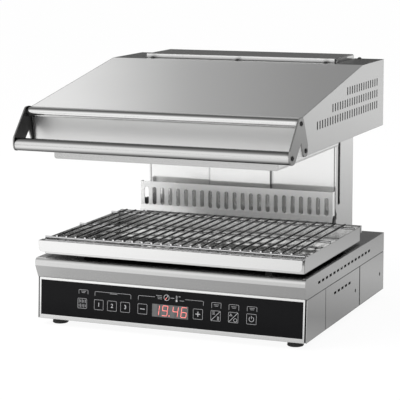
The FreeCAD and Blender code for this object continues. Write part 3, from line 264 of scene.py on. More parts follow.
class GrillStageSettings(bpy.types.PropertyGroup):
    """Camera and light."""

    azimuth: angle_setting("Azimuth", "Camera's angle round the grill", 22.89)
    elevation: angle_setting("Elevation", "Camera's angle above the horizon", 9.71)
    roll: angle_setting("Roll", "Camera's turn about its own axis", -0.32)
    distance: length_setting("Distance", "Camera's distance from its target", 3.604)
    target: bpy.props.FloatVectorProperty(name="Target", description="Point that the camera looks at",
                                          subtype="TRANSLATION", default=(-0.0427, 0.049, 0.2387))
    focal_pixels: bpy.props.FloatProperty(name="Focal length", description="In pixels of a square frame",
                                          default=1647.6)
    fill: share_setting("Fill", "Level of the even light from all round", 0.95)
    key_watts: bpy.props.FloatProperty(name="Key", description="Power of the large lamp", subtype="POWER",
                                       default=90.0)
    floor: share_setting("Floor", "Tone of the floor", 0.92)


def settings(name):
    """One of the setting groups of the scene."""
    return getattr(bpy.context.scene, name)


def set_inputs(node, inputs):
    """Link the inputs that are given sockets and set the others."""
    for name, item in inputs.items():
        if isinstance(item, bpy.types.NodeSocket):
            node.id_data.links.new(item, node.inputs[name])
        else:
            node.inputs[name].default_value = item


def add_node(tree, kind, inputs=None, **options):
    """Node with its options and inputs."""
    made = tree.nodes.new(kind)
    for name, option in options.items():
        setattr(made, name, option)
    set_inputs(made, inputs or {})
    return made


def math_node(tree, operation, first, second=0.0):
    """Result of a sum on two values or sockets."""
    return add_node(tree, "ShaderNodeMath", {0: first, 1: second}, operation=operation).outputs[0]


def vector_node(tree, operation, first, second=ORIGIN):
    """Outputs of a sum on two vectors or sockets."""
    return add_node(tree, "ShaderNodeVectorMath", {0: first, 1: second}, operation=operation).outputs


def axes(tree, vector):
    """X, Y and Z of a vector."""
    return add_node(tree, "ShaderNodeSeparateXYZ", {0: vector}).outputs


def spread(tree, socket, low, high, start=0.3, end=0.7):
    """Range of a socket, its middle by default, drawn out between two values."""
    return add_node(tree, "ShaderNodeMapRange", {
        "Value": socket, "From Min": start, "From Max": end, "To Min": low, "To Max": high}).outputs[0]


def blend_colours(tree, factor, first, second):
    """Mix of two colours, given as triples or sockets."""
    pair = [colour if isinstance(colour, bpy.types.NodeSocket) else (*colour, 1.0)
            for colour in (first, second)]
    return add_node(tree, "ShaderNodeMix", {0: factor, 6: pair[0], 7: pair[1]}, data_type="RGBA").outputs[2]


def blend_values(tree, factor, first, second):
    """Mix of two values or sockets."""
    return add_node(tree, "ShaderNodeMix", {0: factor, 2: first, 3: second}).outputs[0]


def noise(tree, place, scale, detail=2.0, roughness=0.5):
    """Soft mask at a scale."""
    return add_node(tree, "ShaderNodeTexNoise", {
        "Vector": place, "Scale": scale, "Detail": detail, "Roughness": roughness}).outputs["Fac"]


def effect_group(name, inputs, outputs):
    """Empty node group with a place, named inputs and named masks."""
    tree = bpy.data.node_groups.new(name, "ShaderNodeTree")
    for label, default in {"Place": ORIGIN, **inputs}.items():
        kind = "NodeSocketVector" if isinstance(default, tuple) else "NodeSocketFloat"
        tree.interface.new_socket(label, in_out="INPUT", socket_type=kind).default_value = default
    for label in outputs:
        tree.interface.new_socket(label, in_out="OUTPUT", socket_type="NodeSocketFloat")
    return tree, tree.nodes.new("NodeGroupInput").outputs, tree.nodes.new("NodeGroupOutput")


def brushing_group():
    """Fine streaks along the least stretched axis, and broad clouds of handling."""
    stretch = (ALONG_STREAKS, ACROSS_STREAKS, ACROSS_STREAKS)
    tree, source, sink = effect_group("brushing", {"Stretch": stretch, "Cloud Scale": 6.0},
                                      ("Streak", "Cloud"))
    drawn = vector_node(tree, "MULTIPLY", source["Place"], source["Stretch"])[0]
    set_inputs(sink, {"Streak": noise(tree, drawn, 1.0, roughness=0.65),
                      "Cloud": noise(tree, source["Place"], source["Cloud Scale"], detail=3.0)})
    return tree


def grain_group():
    """Even grain of mouldings, rubber and coats, and broad clouds of wear."""
    tree, source, sink = effect_group("grain", {"Scale": 900.0, "Cloud Scale": 18.0}, ("Grain", "Cloud"))
    set_inputs(sink, {
        "Grain": noise(tree, source["Place"], source["Scale"], detail=3.0, roughness=0.55),
        "Cloud": noise(tree, source["Place"], source["Cloud Scale"], detail=4.0)})
    return tree


def shared_effect(tree, name, build, inputs):
    """Outputs of a node group that is built once."""
    group = bpy.data.node_groups.get(name) or build()
    return add_node(tree, "ShaderNodeGroup", inputs, node_tree=group).outputs


def new_material(name):
    """Material on the pieces of its finish: its tree, its shader and the object's own coordinates."""
    material = bpy.data.materials.new(name)
    material.use_nodes = True
    for node in FINISH_NODES.get(name, ()):
        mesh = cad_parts[node].data
        mesh.materials.clear()
        mesh.materials.append(material)
    tree = material.node_tree
    return tree, tree.nodes["Principled BSDF"], add_node(tree, "ShaderNodeTexCoord").outputs["Object"]


def shaded(colour, factor):
    """Colour made lighter or darker."""
    return tuple(min(1.0, channel * factor) for channel in colour)


def varied(tree, mask, colour, contrast):
    """Colour that goes from darker to lighter with a mask."""
    return blend_colours(tree, mask, shaded(colour, 1 - contrast), shaded(colour, 1 + contrast))


def uneven_gloss(tree, roughness, fine, fine_range, cloud, cloud_range):
    """Roughness that wavers with a fine mask and with clouds."""
    return math_node(tree, "ADD", spread(tree, fine, -fine_range, fine_range),
                     spread(tree, cloud, roughness - cloud_range, roughness + cloud_range))


def in_crevices(tree, colour):
    """Colour with painted shade that darkens it in seams, slots and inner corners."""
    openness = add_node(tree, "ShaderNodeAmbientOcclusion", {"Distance": CREVICE_SHADE_REACH}, samples=8)
    share = math_node(tree, "POWER", openness.outputs["AO"], 1.6)
    return blend_colours(tree, share, CREVICE_SHADE_TONE, colour)


def facing(axis, low, high, start, end, either_way=False):
    """Maker of a mask from how far the faces look along an axis."""
    def mask(tree):
        look = axes(tree, add_node(tree, "ShaderNodeTexCoord").outputs["Normal"])[axis]
        if either_way:
            look = math_node(tree, "ABSOLUTE", look)
        return spread(tree, look, low, high, start, end)
    return mask


upward_faces = facing("Z", 0.0, 1.0, 0.4, 0.8)
under_faces = facing("Z", 1.0, 0.0, -0.45, -0.05)
level_faces = facing("Z", 0.0, 1.0, 0.4, 0.85, either_way=True)
forward_faces = facing("Y", 1.0, 0.0, -0.6, -0.3)
end_faces = facing("X", 0.0, 1.0, 0.5, 0.8, either_way=True)


def sheltered_faces(tree):
    """Mask of the rod faces that keep their chrome colour, the undersides and front ends; the other faces
    carry a painted dark reflection.
    """
    return math_node(tree, "MAXIMUM", under_faces(tree), forward_faces(tree))


def inward_faces(tree):
    """Mask of the faces that look towards the middle plane."""
    source = add_node(tree, "ShaderNodeTexCoord").outputs
    away = math_node(tree, "MULTIPLY", axes(tree, source["Normal"])["X"], axes(tree, source["Object"])["X"])
    return spread(tree, away, 1.0, 0.0, -0.2, -0.1)


def brushed(name, colour, along, roughness, contrast=0.05, relief=0.000006, grain=0.85, faces=None,
            faces_colour=None, faces_gloss=0.0, metallic=1.0):
    """Brushed metal with streaks along an axis and painted shade in its crevices; a mask may give some faces
    another colour and gloss, which is how light and shade are painted on some faces.
    """
    tree, shader, place = new_material(name)
    stretch = [ACROSS_STREAKS] * 3
    slant = list(TANGENT_SLANT)
    axis = "xyz".index(along)
    stretch[axis] = ALONG_STREAKS
    slant[axis] = 1.0
    tangent = add_node(tree, "ShaderNodeVectorTransform", {"Vector": slant}, vector_type="VECTOR",
                       convert_from="OBJECT", convert_to="WORLD")
    brushing = shared_effect(tree, "brushing", brushing_group, {"Place": place, "Stretch": stretch})
    streak = brushing["Streak"]
    base = varied(tree, streak, colour, contrast)
    gloss = uneven_gloss(tree, roughness, streak, 0.015, brushing["Cloud"], 0.008)
    if faces:
        mask = faces(tree)
        base = blend_colours(tree, mask, base, faces_colour)
        gloss = math_node(tree, "ADD", gloss, math_node(tree, "MULTIPLY", mask, faces_gloss))
    rounded = add_node(tree, "ShaderNodeBevel", {"Radius": settings("grill_finish").bend}, samples=4)
    bump = add_node(tree, "ShaderNodeBump", {
        "Height": streak, "Distance": relief, "Strength": 0.6, "Normal": rounded.outputs[0]})
    set_inputs(shader, {
        "Base Color": in_crevices(tree, base), "Roughness": gloss, "Metallic": metallic,
        "Normal": bump.outputs[0], "Tangent": tangent.outputs[0], "Anisotropic": grain,
        "Anisotropic Rotation": 0.25})


def grained(name, colour, roughness, scale=900.0, relief=0.00003, contrast=0.12, metallic=0.0):
    """Moulded, coated or pressed material with an even grain and clouds of wear."""
    tree, shader, place = new_material(name)
    effect = shared_effect(tree, "grain", grain_group, {"Place": place, "Scale": scale})
    grain = effect["Grain"]
    cloud = effect["Cloud"]
    bump = add_node(tree, "ShaderNodeBump", {"Height": grain, "Distance": relief, "Strength": 0.7})
    set_inputs(shader, {
        "Base Color": varied(tree, cloud, colour, contrast),
        "Roughness": uneven_gloss(tree, roughness, grain, 0.04, cloud, 0.05),
        "Metallic": metallic, "Normal": bump.outputs[0]})


def glossy_glass(name, colour, level):
    """Opaque dark glass with a clean face and faint wiping marks."""
    tree, shader, place = new_material(name)
    cloud = shared_effect(tree, "grain", grain_group, {"Place": place, "Cloud Scale": 9.0})["Cloud"]
    set_inputs(shader, {
        "Base Color": varied(tree, cloud, colour, 0.2), "Roughness": spread(tree, cloud, 0.04, 0.1),
        "Specular IOR Level": level})


def lit_figures(colour):
    """Glow of the lit segments, a little uneven."""
    tree, shader, place = new_material("lit_figures")
    grain = shared_effect(tree, "grain", grain_group, {"Place": place, "Scale": 300.0})["Grain"]
    glow = varied(tree, grain, colour, 0.1)
    set_inputs(shader, {
        "Emission Color": glow, "Emission Strength": 0.52, "Base Color": glow, "Roughness": 0.4})


def display_ground(colour):
    """Grey window of the display with the unlit segments faintly showing."""
    tree, shader, place = new_material("display_ground")
    wave = add_node(tree, "ShaderNodeTexWave", {
        "Vector": place, "Scale": 16.0, "Distortion": 0.4, "Detail": 1.0}, bands_direction="X")
    bars = wave.outputs["Fac"]
    set_inputs(shader, {
        "Base Color": blend_colours(tree, bars, shaded(colour, 0.85), shaded(colour, 1.2)),
        "Roughness": spread(tree, bars, 0.25, 0.35)})


def make_steels(tone):
    """Finishes of the sheets, bars and rods."""
    bright = tone.bright_steel
    dull = tone.dull_steel
    # faces painted lighter as if lit, on the cap's and column's fronts, the pan's ends and the tray's floor
    painted_lit = tone.tray_floor
    # the hood's front faces are painted lighter, as if lit
    brushed("hood_steel", tone.hood_steel, "x", 0.18, grain=0.45, faces=forward_faces, faces_colour=bright,
            faces_gloss=0.2)
    # the cap's front faces are painted lighter as if lit
    brushed("cap_steel", bright, "x", 0.1, relief=FINE_RELIEF, grain=0.3, faces=forward_faces,
            faces_colour=painted_lit, faces_gloss=0.4, metallic=0.85)
    brushed("hood_side_steel", shaded(tone.steel, 0.9), "y", 0.2)
    # the pan's end faces are painted lighter as if lit
    brushed("pan_steel", shaded(tone.steel, 0.8), "x", 0.22, faces=end_faces, faces_colour=painted_lit,
            metallic=0.9)
    brushed("base_steel", tone.steel, "x", 0.18, relief=FINE_RELIEF)
    brushed("fascia_steel", shaded(bright, 1.16), "x", 0.16)
    # the column's front faces are painted lighter as if lit
    brushed("column_steel", shaded(bright, 0.95), "x", 0.1, faces=forward_faces, faces_colour=painted_lit,
            metallic=0.75)
    # the tray's floor is painted lighter as if lit, a painted highlight
    brushed("tray_steel", shaded(bright, 0.9), "x", 0.12, grain=0.4, faces=upward_faces,
            faces_colour=painted_lit, faces_gloss=-0.09)
    brushed("lip_steel", shaded(bright, 1.05), "x", 0.12)
    brushed("guard_steel", shaded(bright, 1.2), "x", 0.17, grain=0.3, metallic=0.3)
    # painted reflection: the top bar's upper faces and the grip's upper and lower faces are painted dark
    brushed("bar_steel", bright, "x", 0.14, faces=upward_faces, faces_colour=shaded(dull, 0.5))
    brushed("grip_steel", shaded(bright, 0.85), "x", 0.14, faces=level_faces, faces_colour=shaded(dull, 0.3))
    brushed("plate_steel", shaded(dull, 0.9), "z", 0.22, faces=inward_faces, faces_colour=tone.shade)
    # the chromed rods get a painted dark reflection on their tops and sides, and keep chrome underneath and
    # at the front ends
    brushed("grid_rod", tone.seared_rod, "y", 0.14, relief=FINE_RELIEF, grain=0.0, faces=sheltered_faces,
            faces_colour=tone.chrome)
    brushed("chromed_rod", tone.chrome, "y", 0.09, relief=FINE_RELIEF, grain=0.0)
    brushed("plain_steel", dull, "x", 0.38, contrast=0.1)
    brushed("milled_aluminium", tone.aluminium, "x", 0.32, contrast=0.08)
    brushed("turned_brass", tone.brass, "z", 0.28, contrast=0.08)
    brushed("cover_screw", shaded(dull, 0.12), "z", 0.3)


def make_coats(tone):
    """Finishes of the coated, moulded, pressed, printed and glass pieces."""
    grained("black_coat", tone.black_coat, 0.42, scale=1400.0)
    grained("black_screw", tone.black_coat, 0.35, scale=1800.0, metallic=0.6)
    # dark strips that paint the shade behind the hood's vents
    grained("painted_shade", shaded(tone.black_coat, 0.4), 0.7, scale=1600.0, relief=0.0002, contrast=0.4)
    grained("foot_rubber", tone.rubber, 0.75, scale=700.0)
    grained("board_laminate", tone.laminate, 0.4, scale=500.0)
    grained("black_plastic", tone.black_plastic, 0.5)
    grained("ivory_plastic", tone.ivory_plastic, 0.5)
    grained("pressed_fibre", tone.fibre, 0.9, scale=260.0, relief=0.0003)
    grained("mineral_wool", tone.wool, 0.95, scale=320.0, relief=0.0006)
    grained("printed_ink", tone.ink, 0.5, scale=2500.0, relief=0.000005)
    grained("faint_ink", tone.faint_ink, 0.5, scale=2500.0, relief=0.000005)
    glossy_glass("panel_glass", tone.panel_glass, 0.09)
    glossy_glass("heater_glass", tone.heater_glass, 0.5)
    lit_figures(tone.glow)
    display_ground(tone.window)


def material_named(name):
    """Finish that is already made."""
    if name not in bpy.data.materials:
        raise RuntimeError(f"no finish {name}: run the finishes first")
    return bpy.data.materials[name]


def new_object(name, data):
    """Object in the scene."""
    made = bpy.data.objects.new(name, data)
    bpy.context.scene.collection.objects.link(made)
    return made


def mesh_object(shape, name, finish):
    """Turn a bmesh into an object with a finish."""
    mesh = bpy.data.meshes.new(name)
    shape.to_mesh(mesh)
    shape.free()
    mesh.materials.append(material_named(finish))
    return new_object(name, mesh)


def add_piece(shape, name, body, finish):
    """Turn a bmesh into a piece that rides on a body."""
    bmesh.ops.recalc_face_normals(shape, faces=shape.faces)
    piece = mesh_object(shape, name, finish)
    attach(piece, body)
    return piece


def take_in(shape, part, matrix):
    """Move a part into place and add it to a shape."""
    bmesh.ops.transform(part, matrix=matrix, verts=part.verts)
    mesh = bpy.data.meshes.new("part")
    part.to_mesh(mesh)
    part.free()
    shape.from_mesh(mesh)
    bpy.data.meshes.remove(mesh)


def rounded_plate(width, height, corner, segments=5):
    """Flat plate with rounded corners, drawn round the origin."""
    plate = bmesh.new()
    bmesh.ops.create_grid(plate, x_segments=1, y_segments=1, size=0.5,
                          matrix=Matrix.Diagonal((width, height, 1.0, 1.0)))
    if corner > 0:
        bmesh.ops.bevel(plate, geom=plate.verts[:], offset=corner, offset_type="OFFSET", segments=segments,
                        profile=0.5, affect="VERTICES", material=-1)
    return plate


def disc(radius, segments=40):
    """Flat disc round the origin."""
    made = bmesh.new()
    bmesh.ops.create_circle(made, cap_ends=True, segments=segments, radius=radius)
    return made


def hollowed(plate, line):
    """Leave only a line along the edge of a flat plate."""
    middle = plate.faces[:]
    bmesh.ops.inset_region(plate, faces=middle, thickness=line, use_even_offset=True, use_boundary=True)
    bmesh.ops.delete(plate, geom=middle, context="FACES")
    return plate


def key_outline(width, height, corner, line):
    """Outline with rounded corners."""
    return hollowed(rounded_plate(width, height, corner), line)


def cut_below(plate, height):
    """Take away what lies below a height."""
    bmesh.ops.bisect_plane(plate, geom=plate.verts[:] + plate.edges[:] + plate.faces[:],
                           plane_co=(0.0, height, 0.0), plane_no=(0.0, 1.0, 0.0), clear_inner=True)
    return plate


def arc(radius, line, start, sweep, steps=28):
    """Part of a ring."""
    made = bmesh.new()
    ends = [made.verts.new((radius, 0.0, 0.0)), made.verts.new((radius - line, 0.0, 0.0))]
    edge = made.edges.new(ends)
    bmesh.ops.rotate(made, verts=ends, cent=ORIGIN, matrix=Matrix.Rotation(start, 3, "Z"))
    bmesh.ops.spin(made, geom=ends + [edge], cent=ORIGIN, axis=(0.0, 0.0, 1.0), angle=sweep,
                   steps=steps, use_merge=False)
    return made


def number_shape(digits, size):
    """Flat number in the plain built-in letters."""
    curve = bpy.data.curves.new("number", "FONT")
    curve.body = digits
    curve.size = size
    curve.align_x = "CENTER"
    curve.align_y = "CENTER"
    carrier = new_object("number", curve)
    flat = bpy.data.meshes.new_from_object(carrier.evaluated_get(bpy.context.evaluated_depsgraph_get()))
    made = bmesh.new()
    made.from_mesh(flat)
    bpy.data.objects.remove(carrier)
    bpy.data.curves.remove(curve)
    bpy.data.meshes.remove(flat)
    return made


def at(across, up, turn=0.0):
    """Place on the panel's sheet, in millimetres."""
    return Matrix.Translation((across * MM, up * MM, 0.0)) @ Matrix.Rotation(turn, 4, "Z")


def stroke(sheet, width, height, across, up, turn=0.0, corner=0.2):
    """Lay a bar on the panel's sheet, all lengths in millimetres."""
    take_in(sheet, rounded_plate(width * MM, height * MM, corner * MM), at(across, up, turn))


def panel_matrix(lift=0.0):
    """From the flat sheet, x across and y up, to the leaning front of the control glass."""
    low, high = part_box("control_glass")
    glass_depth = 4.0 * MM
    slope = (high.y - glass_depth - low.y) / (high.z - low.z)
    return Matrix(((1.0, 0.0, 0.0, 0.0), (0.0, slope, -1.0, low.y - low.z * slope - lift),
                   (0.0, 1.0, 0.0, 0.0), (0.0, 0.0, 0.0, 1.0)))


def printed(sheet, thickness, lift=0.0):
    """Give a flat sheet its thickness and lay it on the glass."""
    bmesh.ops.solidify(sheet, geom=sheet.faces[:], thickness=thickness)
    lowest = min(vert.co.z for vert in sheet.verts)
    bmesh.ops.translate(sheet, verts=sheet.verts, vec=(0.0, 0.0, -lowest))
    bmesh.ops.transform(sheet, matrix=panel_matrix(lift), verts=sheet.verts)
    return sheet


def solid_boxes(node):
    """Lowest and highest corner of each separate solid of a node."""
    copy = bmesh.new()
    copy.from_mesh(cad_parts[node].data)
    bmesh.ops.remove_doubles(copy, verts=copy.verts, dist=1e-6)
    left = set(copy.verts)
    boxes = []
    while left:
        front = [left.pop()]
        points = []
        while front:
            vert = front.pop()
            points.append(vert.co)
            near = {edge.other_vert(vert) for edge in vert.link_edges} & left
            left -= near
            front.extend(near)
        columns = list(zip(*points))
        boxes.append([Vector([pick(column) for column in columns]) for pick in (min, max)])
    copy.free()
    return sorted(boxes, key=lambda box: tuple(box[0]))


class GRILL_OT_finishes(bpy.types.Operator):
    """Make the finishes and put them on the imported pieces"""

    bl_idname = "grill.finishes"
    bl_label = "Finishes"

    def execute(self, context):
        tone = settings("grill_finish")
        make_steels(tone)
        make_coats(tone)
        return {"FINISHED"}


class GRILL_OT_panel_signs(bpy.types.Operator):
    """Print the keys' outlines, signs and brackets on the control glass"""

    bl_idname = "grill.panel_signs"
    bl_label = "Panel signs"

    def execute(self, context):
        panel = settings("grill_panel")
        rise = panel.key_rise / MM
        signs = bmesh.new()
        lines = bmesh.new()
        for across in (PAD_KEY, *NUMBER_KEYS, MINUS_KEY, PLUS_KEY, *SLASHED_KEYS, POWER_KEY):
            take_in(lines, key_outline(panel.key, panel.key, panel.key_corner, panel.line), at(across, rise))
        self.print_pad(lines, rise)
        for number, across in enumerate(NUMBER_KEYS, start=1):
            take_in(signs, number_shape(str(number), NUMBER_SIZE * MM), at(across, rise))
        for across in (MINUS_KEY, PLUS_KEY):
            stroke(signs, SIGN_LENGTH, SIGN_LINE, across, rise, corner=0.3)
        # a hair higher than the level bar
        stroke(signs, SIGN_LINE, SIGN_LENGTH, PLUS_KEY, rise + 0.01, corner=0.3)
        self.print_slashed_keys(signs, rise, panel.line / MM)
        take_in(signs, arc(5.4 * MM, 0.8 * MM, math.radians(125), math.radians(290)), at(POWER_KEY, rise))
        stroke(signs, 0.8, 6.4, POWER_KEY, rise + 3.6)
        self.print_brackets(lines, panel.line)
        self.print_dials(signs, panel.line / MM)
        self.print_labels(lines, panel.line)
        add_piece(printed(signs, panel.ink), "panel_signs", "base", "printed_ink")
        add_piece(printed(lines, panel.ink), "panel_lines", "base", "faint_ink")
        return {"FINISHED"}

    def print_pad(self, sheet, rise):
        """Two rows of short upright strokes on the first key."""
        for row in range(2):
            for column in range(5):
                height = 7.4 - (column + row) % 2 * 2
                stroke(sheet, 1.1, height, PAD_KEY + 3.6 * (column - 2), rise + 4.6 * (1 - 2 * row))

    def print_slashed_keys(self, sheet, rise, line):
        """Two keys split by a slanting line, with a small sign on each side of it."""
        for across in SLASHED_KEYS:
            stroke(sheet, 27.0, line, across, rise, turn=math.radians(45), corner=0.0)
        first, second = SLASHED_KEYS
        for step in range(3):
            stroke(sheet, 6.0, 0.6, first - 4.6, rise + 3.0 + 2.4 * step, corner=0.1)
        for aside in (4.2, 6.6):
            stroke(sheet, 0.7, 8.0, first + aside, rise - 5.0, corner=0.1)
        take_in(sheet, hollowed(disc(3.6 * MM, segments=3), 0.6 * MM), at(second - 5.2, rise + 4.4))
        take_in(sheet, hollowed(disc(3.9 * MM), 0.7 * MM), at(second + 4.6, rise - 5.2))

    def print_brackets(self, sheet, line):
        """Lines that tie groups of keys together."""
        half_height = 15.0
        for left, right in BRACKETS:
            middle = (left + right) / 2
            outline = key_outline((right - left) * MM, 2 * half_height * MM, BRACKET_CORNER * MM, line)
            cut_below(outline, (half_height - (BRACKET_TOP - BRACKET_FOOT)) * MM)
            if right > 0:
                self.open_middle(outline, middle)
            take_in(sheet, outline, at(middle, BRACKET_TOP - half_height))

    def open_middle(self, outline, middle):
        """Open the longer bracket where the clock and the thermometer stand."""
        start, end = BRACKET_GAP
        for edge in BRACKET_GAP:
            bmesh.ops.bisect_plane(outline, geom=outline.verts[:] + outline.edges[:] + outline.faces[:],
                                   plane_co=((edge - middle) * MM, 0.0, 0.0), plane_no=(1.0, 0.0, 0.0))
        gone = [face for face in outline.faces if start < face.calc_center_median().x / MM + middle < end]
        bmesh.ops.delete(outline, geom=gone, context="FACES")

    def print_dials(self, sheet, line):
        """Clock and thermometer that stand in the longer bracket."""
        take_in(sheet, hollowed(disc(6.3 * MM), 0.9 * MM), at(CLOCK, BRACKET_TOP))
        stroke(sheet, 0.9, 5.0, CLOCK + 1.4, BRACKET_TOP + 1.7, turn=HAND_TURN)
        stroke(sheet, 8.0, line, CLOCK + 13.1, BRACKET_TOP, corner=0.0)
        take_in(sheet, disc(2.0 * MM), at(THERMOMETER, BRACKET_TOP - 5.0))
        tube = key_outline(2.6 * MM, 9.0 * MM, 1.2 * MM, 0.7 * MM)
        take_in(sheet, tube, at(THERMOMETER, BRACKET_TOP + 1.2))
        stroke(sheet, 4.0, 0.8, THERMOMETER + 6.6, BRACKET_TOP + 4.2)

    def print_labels(self, sheet, line):
        """Label frames with two dashes in each, and the dashes by the brackets."""
        for across, up, width, height in LABEL_FRAMES:
            outline = key_outline(width * MM, 2 * height * MM, LABEL_CORNER * MM, line)
            take_in(sheet, cut_below(outline, 0.0), at(across, up - height / 2))
            for step in range(2):
                stroke(sheet, 11.0 - 3.0 * step, 0.9, across, up + 1.2 - 2.8 * step, corner=0.0)
        for across, up, width in DASHES:
            stroke(sheet, width, 1.0, across, up, corner=0.0)


class GRILL_OT_display(bpy.types.Operator):
    """Show the display window and its lit figures"""

    bl_idname = "grill.display"
    bl_label = "Display"

    def execute(self, context):
        panel = settings("grill_panel")
        window = bmesh.new()
        stroke(window, *DISPLAY_SIZE, *DISPLAY_PLACE, corner=0.8)
        add_piece(printed(window, panel.ink), "display_window", "base", "display_ground")
        figures = bmesh.new()
        for figure, across in zip(f"{panel.reading:04d}", FIGURE_PLACES):
            take_in(figures, self.figure_shape(figure, panel), at(across, FIGURE_RISE))
        take_in(figures, disc(1.2 * MM, segments=16), at(*POINT_PLACE))
        stroke(figures, 1.0, 5.0, *CLOCK_HAND, turn=HAND_TURN)
        add_piece(printed(figures, panel.ink, panel.ink), "display_figures", "base",
                  "lit_figures")
        return {"FINISHED"}

    def figure_shape(self, figure, panel):
        """Figure of slanting segments with pointed ends."""
        half_width = panel.figure_width / 2
        half_height = panel.figure_height / 2
        made = bmesh.new()
        for name in FIGURES[figure]:
            across, up = SEGMENTS[name]
            length = half_height if across else panel.figure_width
            bar = rounded_plate(length * SEGMENT_REACH, panel.figure_line, panel.figure_line * POINTED,
                                segments=1)
            turn = math.pi / 2 if across else 0.0
            take_in(made, bar, at(across * half_width / MM, up * half_height / MM, turn))
        lean = Matrix.Identity(4)
        lean[0][1] = FIGURE_LEAN
        bmesh.ops.transform(made, matrix=lean, verts=made.verts)
        return made


def hexagon_loop(radius):
    """Six-sided loop with as many edges as a head's rim."""
    made = bmesh.new()
    bmesh.ops.create_circle(made, cap_ends=False, segments=6, radius=radius)
    bmesh.ops.subdivide_edges(made, edges=made.edges[:], cuts=RIM_EDGES // 6 - 1)
    return made


def cross_loop(half_length):
    """Cross-shaped loop with as many edges as a head's rim."""
    made = bmesh.new()
    third = half_length / 3
    verts = []
    for quarter in range(4):
        turn = Matrix.Rotation(-quarter * math.pi / 2, 3, "Z")
        for corner in ((third, half_length), (third, third), (half_length, third)):
            verts.append(made.verts.new(turn @ Vector((*corner, 0.0))))
    for pair in zip(verts, verts[1:] + verts[:1]):
        made.edges.new(pair)
    bmesh.ops.subdivide_edges(made, edges=made.edges[:], cuts=RIM_EDGES // 12 - 1)
    return made


def recessed_head(radius, height, recess, depth, chamfer):
    """Screw head that stands up from the origin, with a recess in its top."""
    head = bmesh.new()
    take_in(head, recess, Matrix.Translation((0.0, 0.0, height)))
    inner = head.edges[:]
    rim = bmesh.ops.create_circle(head, cap_ends=False, segments=RIM_EDGES, radius=radius - chamfer,
                                  matrix=Matrix.Translation((0.0, 0.0, height)))["verts"]
    outer = [edge for edge in head.edges if all(vert in rim for vert in edge.verts)]
    bmesh.ops.bridge_loops(head, edges=inner + outer)
    for drop, growth in ((chamfer, radius / (radius - chamfer)), (height - chamfer, 1.0)):
        outer = extruded_loop(head, outer, -drop, growth)
    bmesh.ops.contextual_create(head, geom=outer)
    inner = extruded_loop(head, inner, -depth, 1.0)
    bmesh.ops.contextual_create(head, geom=inner)
    return head


def extruded_loop(shape, edges, rise, growth):
    """Pull a loop of edges up and widen it."""
    made = bmesh.ops.extrude_edge_only(shape, edges=edges)["geom"]
    verts = [item for item in made if isinstance(item, bmesh.types.BMVert)]
    bmesh.ops.translate(shape, verts=verts, vec=(0.0, 0.0, rise))
    bmesh.ops.scale(shape, verts=verts, vec=(growth, growth, 1.0))
    return [item for item in made if isinstance(item, bmesh.types.BMEdge)]


def screw_heads(node, recess, size, depth):
    """Heads with a recess on the sides of the grill, where a node has plain screws."""
    shape = bmesh.new()
    for low, high in solid_boxes(node):
        head = recessed_head((high.y - low.y) / 2, high.x - low.x, recess(size), depth,
                             settings("grill_screws").chamfer)
        side, foot = (1, low.x) if low.x > 0 else (-1, high.x)
        centre = (low + high) / 2
        take_in(shape, head, Matrix.Translation((foot, centre.y, centre.z))
                @ Matrix.Rotation(side * math.pi / 2, 4, "Y"))
    return shape


class GRILL_OT_handle_screws(bpy.types.Operator):
    """Put black socket-head screws on the handle's plates"""

    bl_idname = "grill.handle_screws"
    bl_label = "Handle screws"

    def execute(self, context):
        screw = settings("grill_screws")
        shape = screw_heads("handle_screws", hexagon_loop, screw.socket, screw.socket_depth)
        piece = add_piece(shape, "handle_socket_screws", "hood", "black_screw")
        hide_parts("handle_screws")
        return {"FINISHED"}


class GRILL_OT_vent_gauze(bpy.types.Operator):
    """Lay dark strips behind the hood's vents as painted shade in the hood's hollow"""

    bl_idname = "grill.vent_gauze"
    bl_label = "Vent gauze"

    def execute(self, context):
        vent = settings("grill_vents")
        shape = bmesh.new()
        upright = Matrix(((0.0, 0.0, 1.0), (1.0, 0.0, 0.0), (0.0, 1.0, 0.0))).to_4x4()
        for node, side in (("hood_side_left", -1), ("hood_side_right", 1)):
            low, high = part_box(node)
            face = high.x if side > 0 else low.x
            for row in range(VENT_ROWS):
                length = vent.longest - row * vent.shorter
                strip = rounded_plate(length, vent.strip, SHADE_STRIP_CORNER)
                bmesh.ops.solidify(strip, geom=strip.faces[:], thickness=vent.wire)
                rise = low.z + vent.first_rise + row * vent.row_step + vent.strip / 2
                middle = high.y - vent.rear_gap - length / 2
                take_in(shape, strip, Matrix.Translation((face - side * vent.depth, middle, rise)) @ upright)
        add_piece(shape, "vent_gauze", "hood", "painted_shade")
        return {"FINISHED"}


class GRILL_OT_cover_screws(bpy.types.Operator):
    """Put cross-head screws in the service covers"""

    bl_idname = "grill.cover_screws"
    bl_label = "Cover screws"

    def execute(self, context):
        screw = settings("grill_screws")
        shape = screw_heads("cover_screws", cross_loop, screw.cross, screw.cross_depth)
        piece = add_piece(shape, "cover_cross_screws", "base", "cover_screw")
        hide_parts("cover_screws")
        return {"FINISHED"}


def away_from_grill(tree, place):
    """Distance on the floor from the edge of the grill's box."""
    spot = vector_node(tree, "ABSOLUTE", place)[0]
    spot = vector_node(tree, "SUBTRACT", spot, GRILL_CORNER)[0]
    spot = vector_node(tree, "MAXIMUM", spot)[0]
    return vector_node(tree, "LENGTH", spot)["Value"]


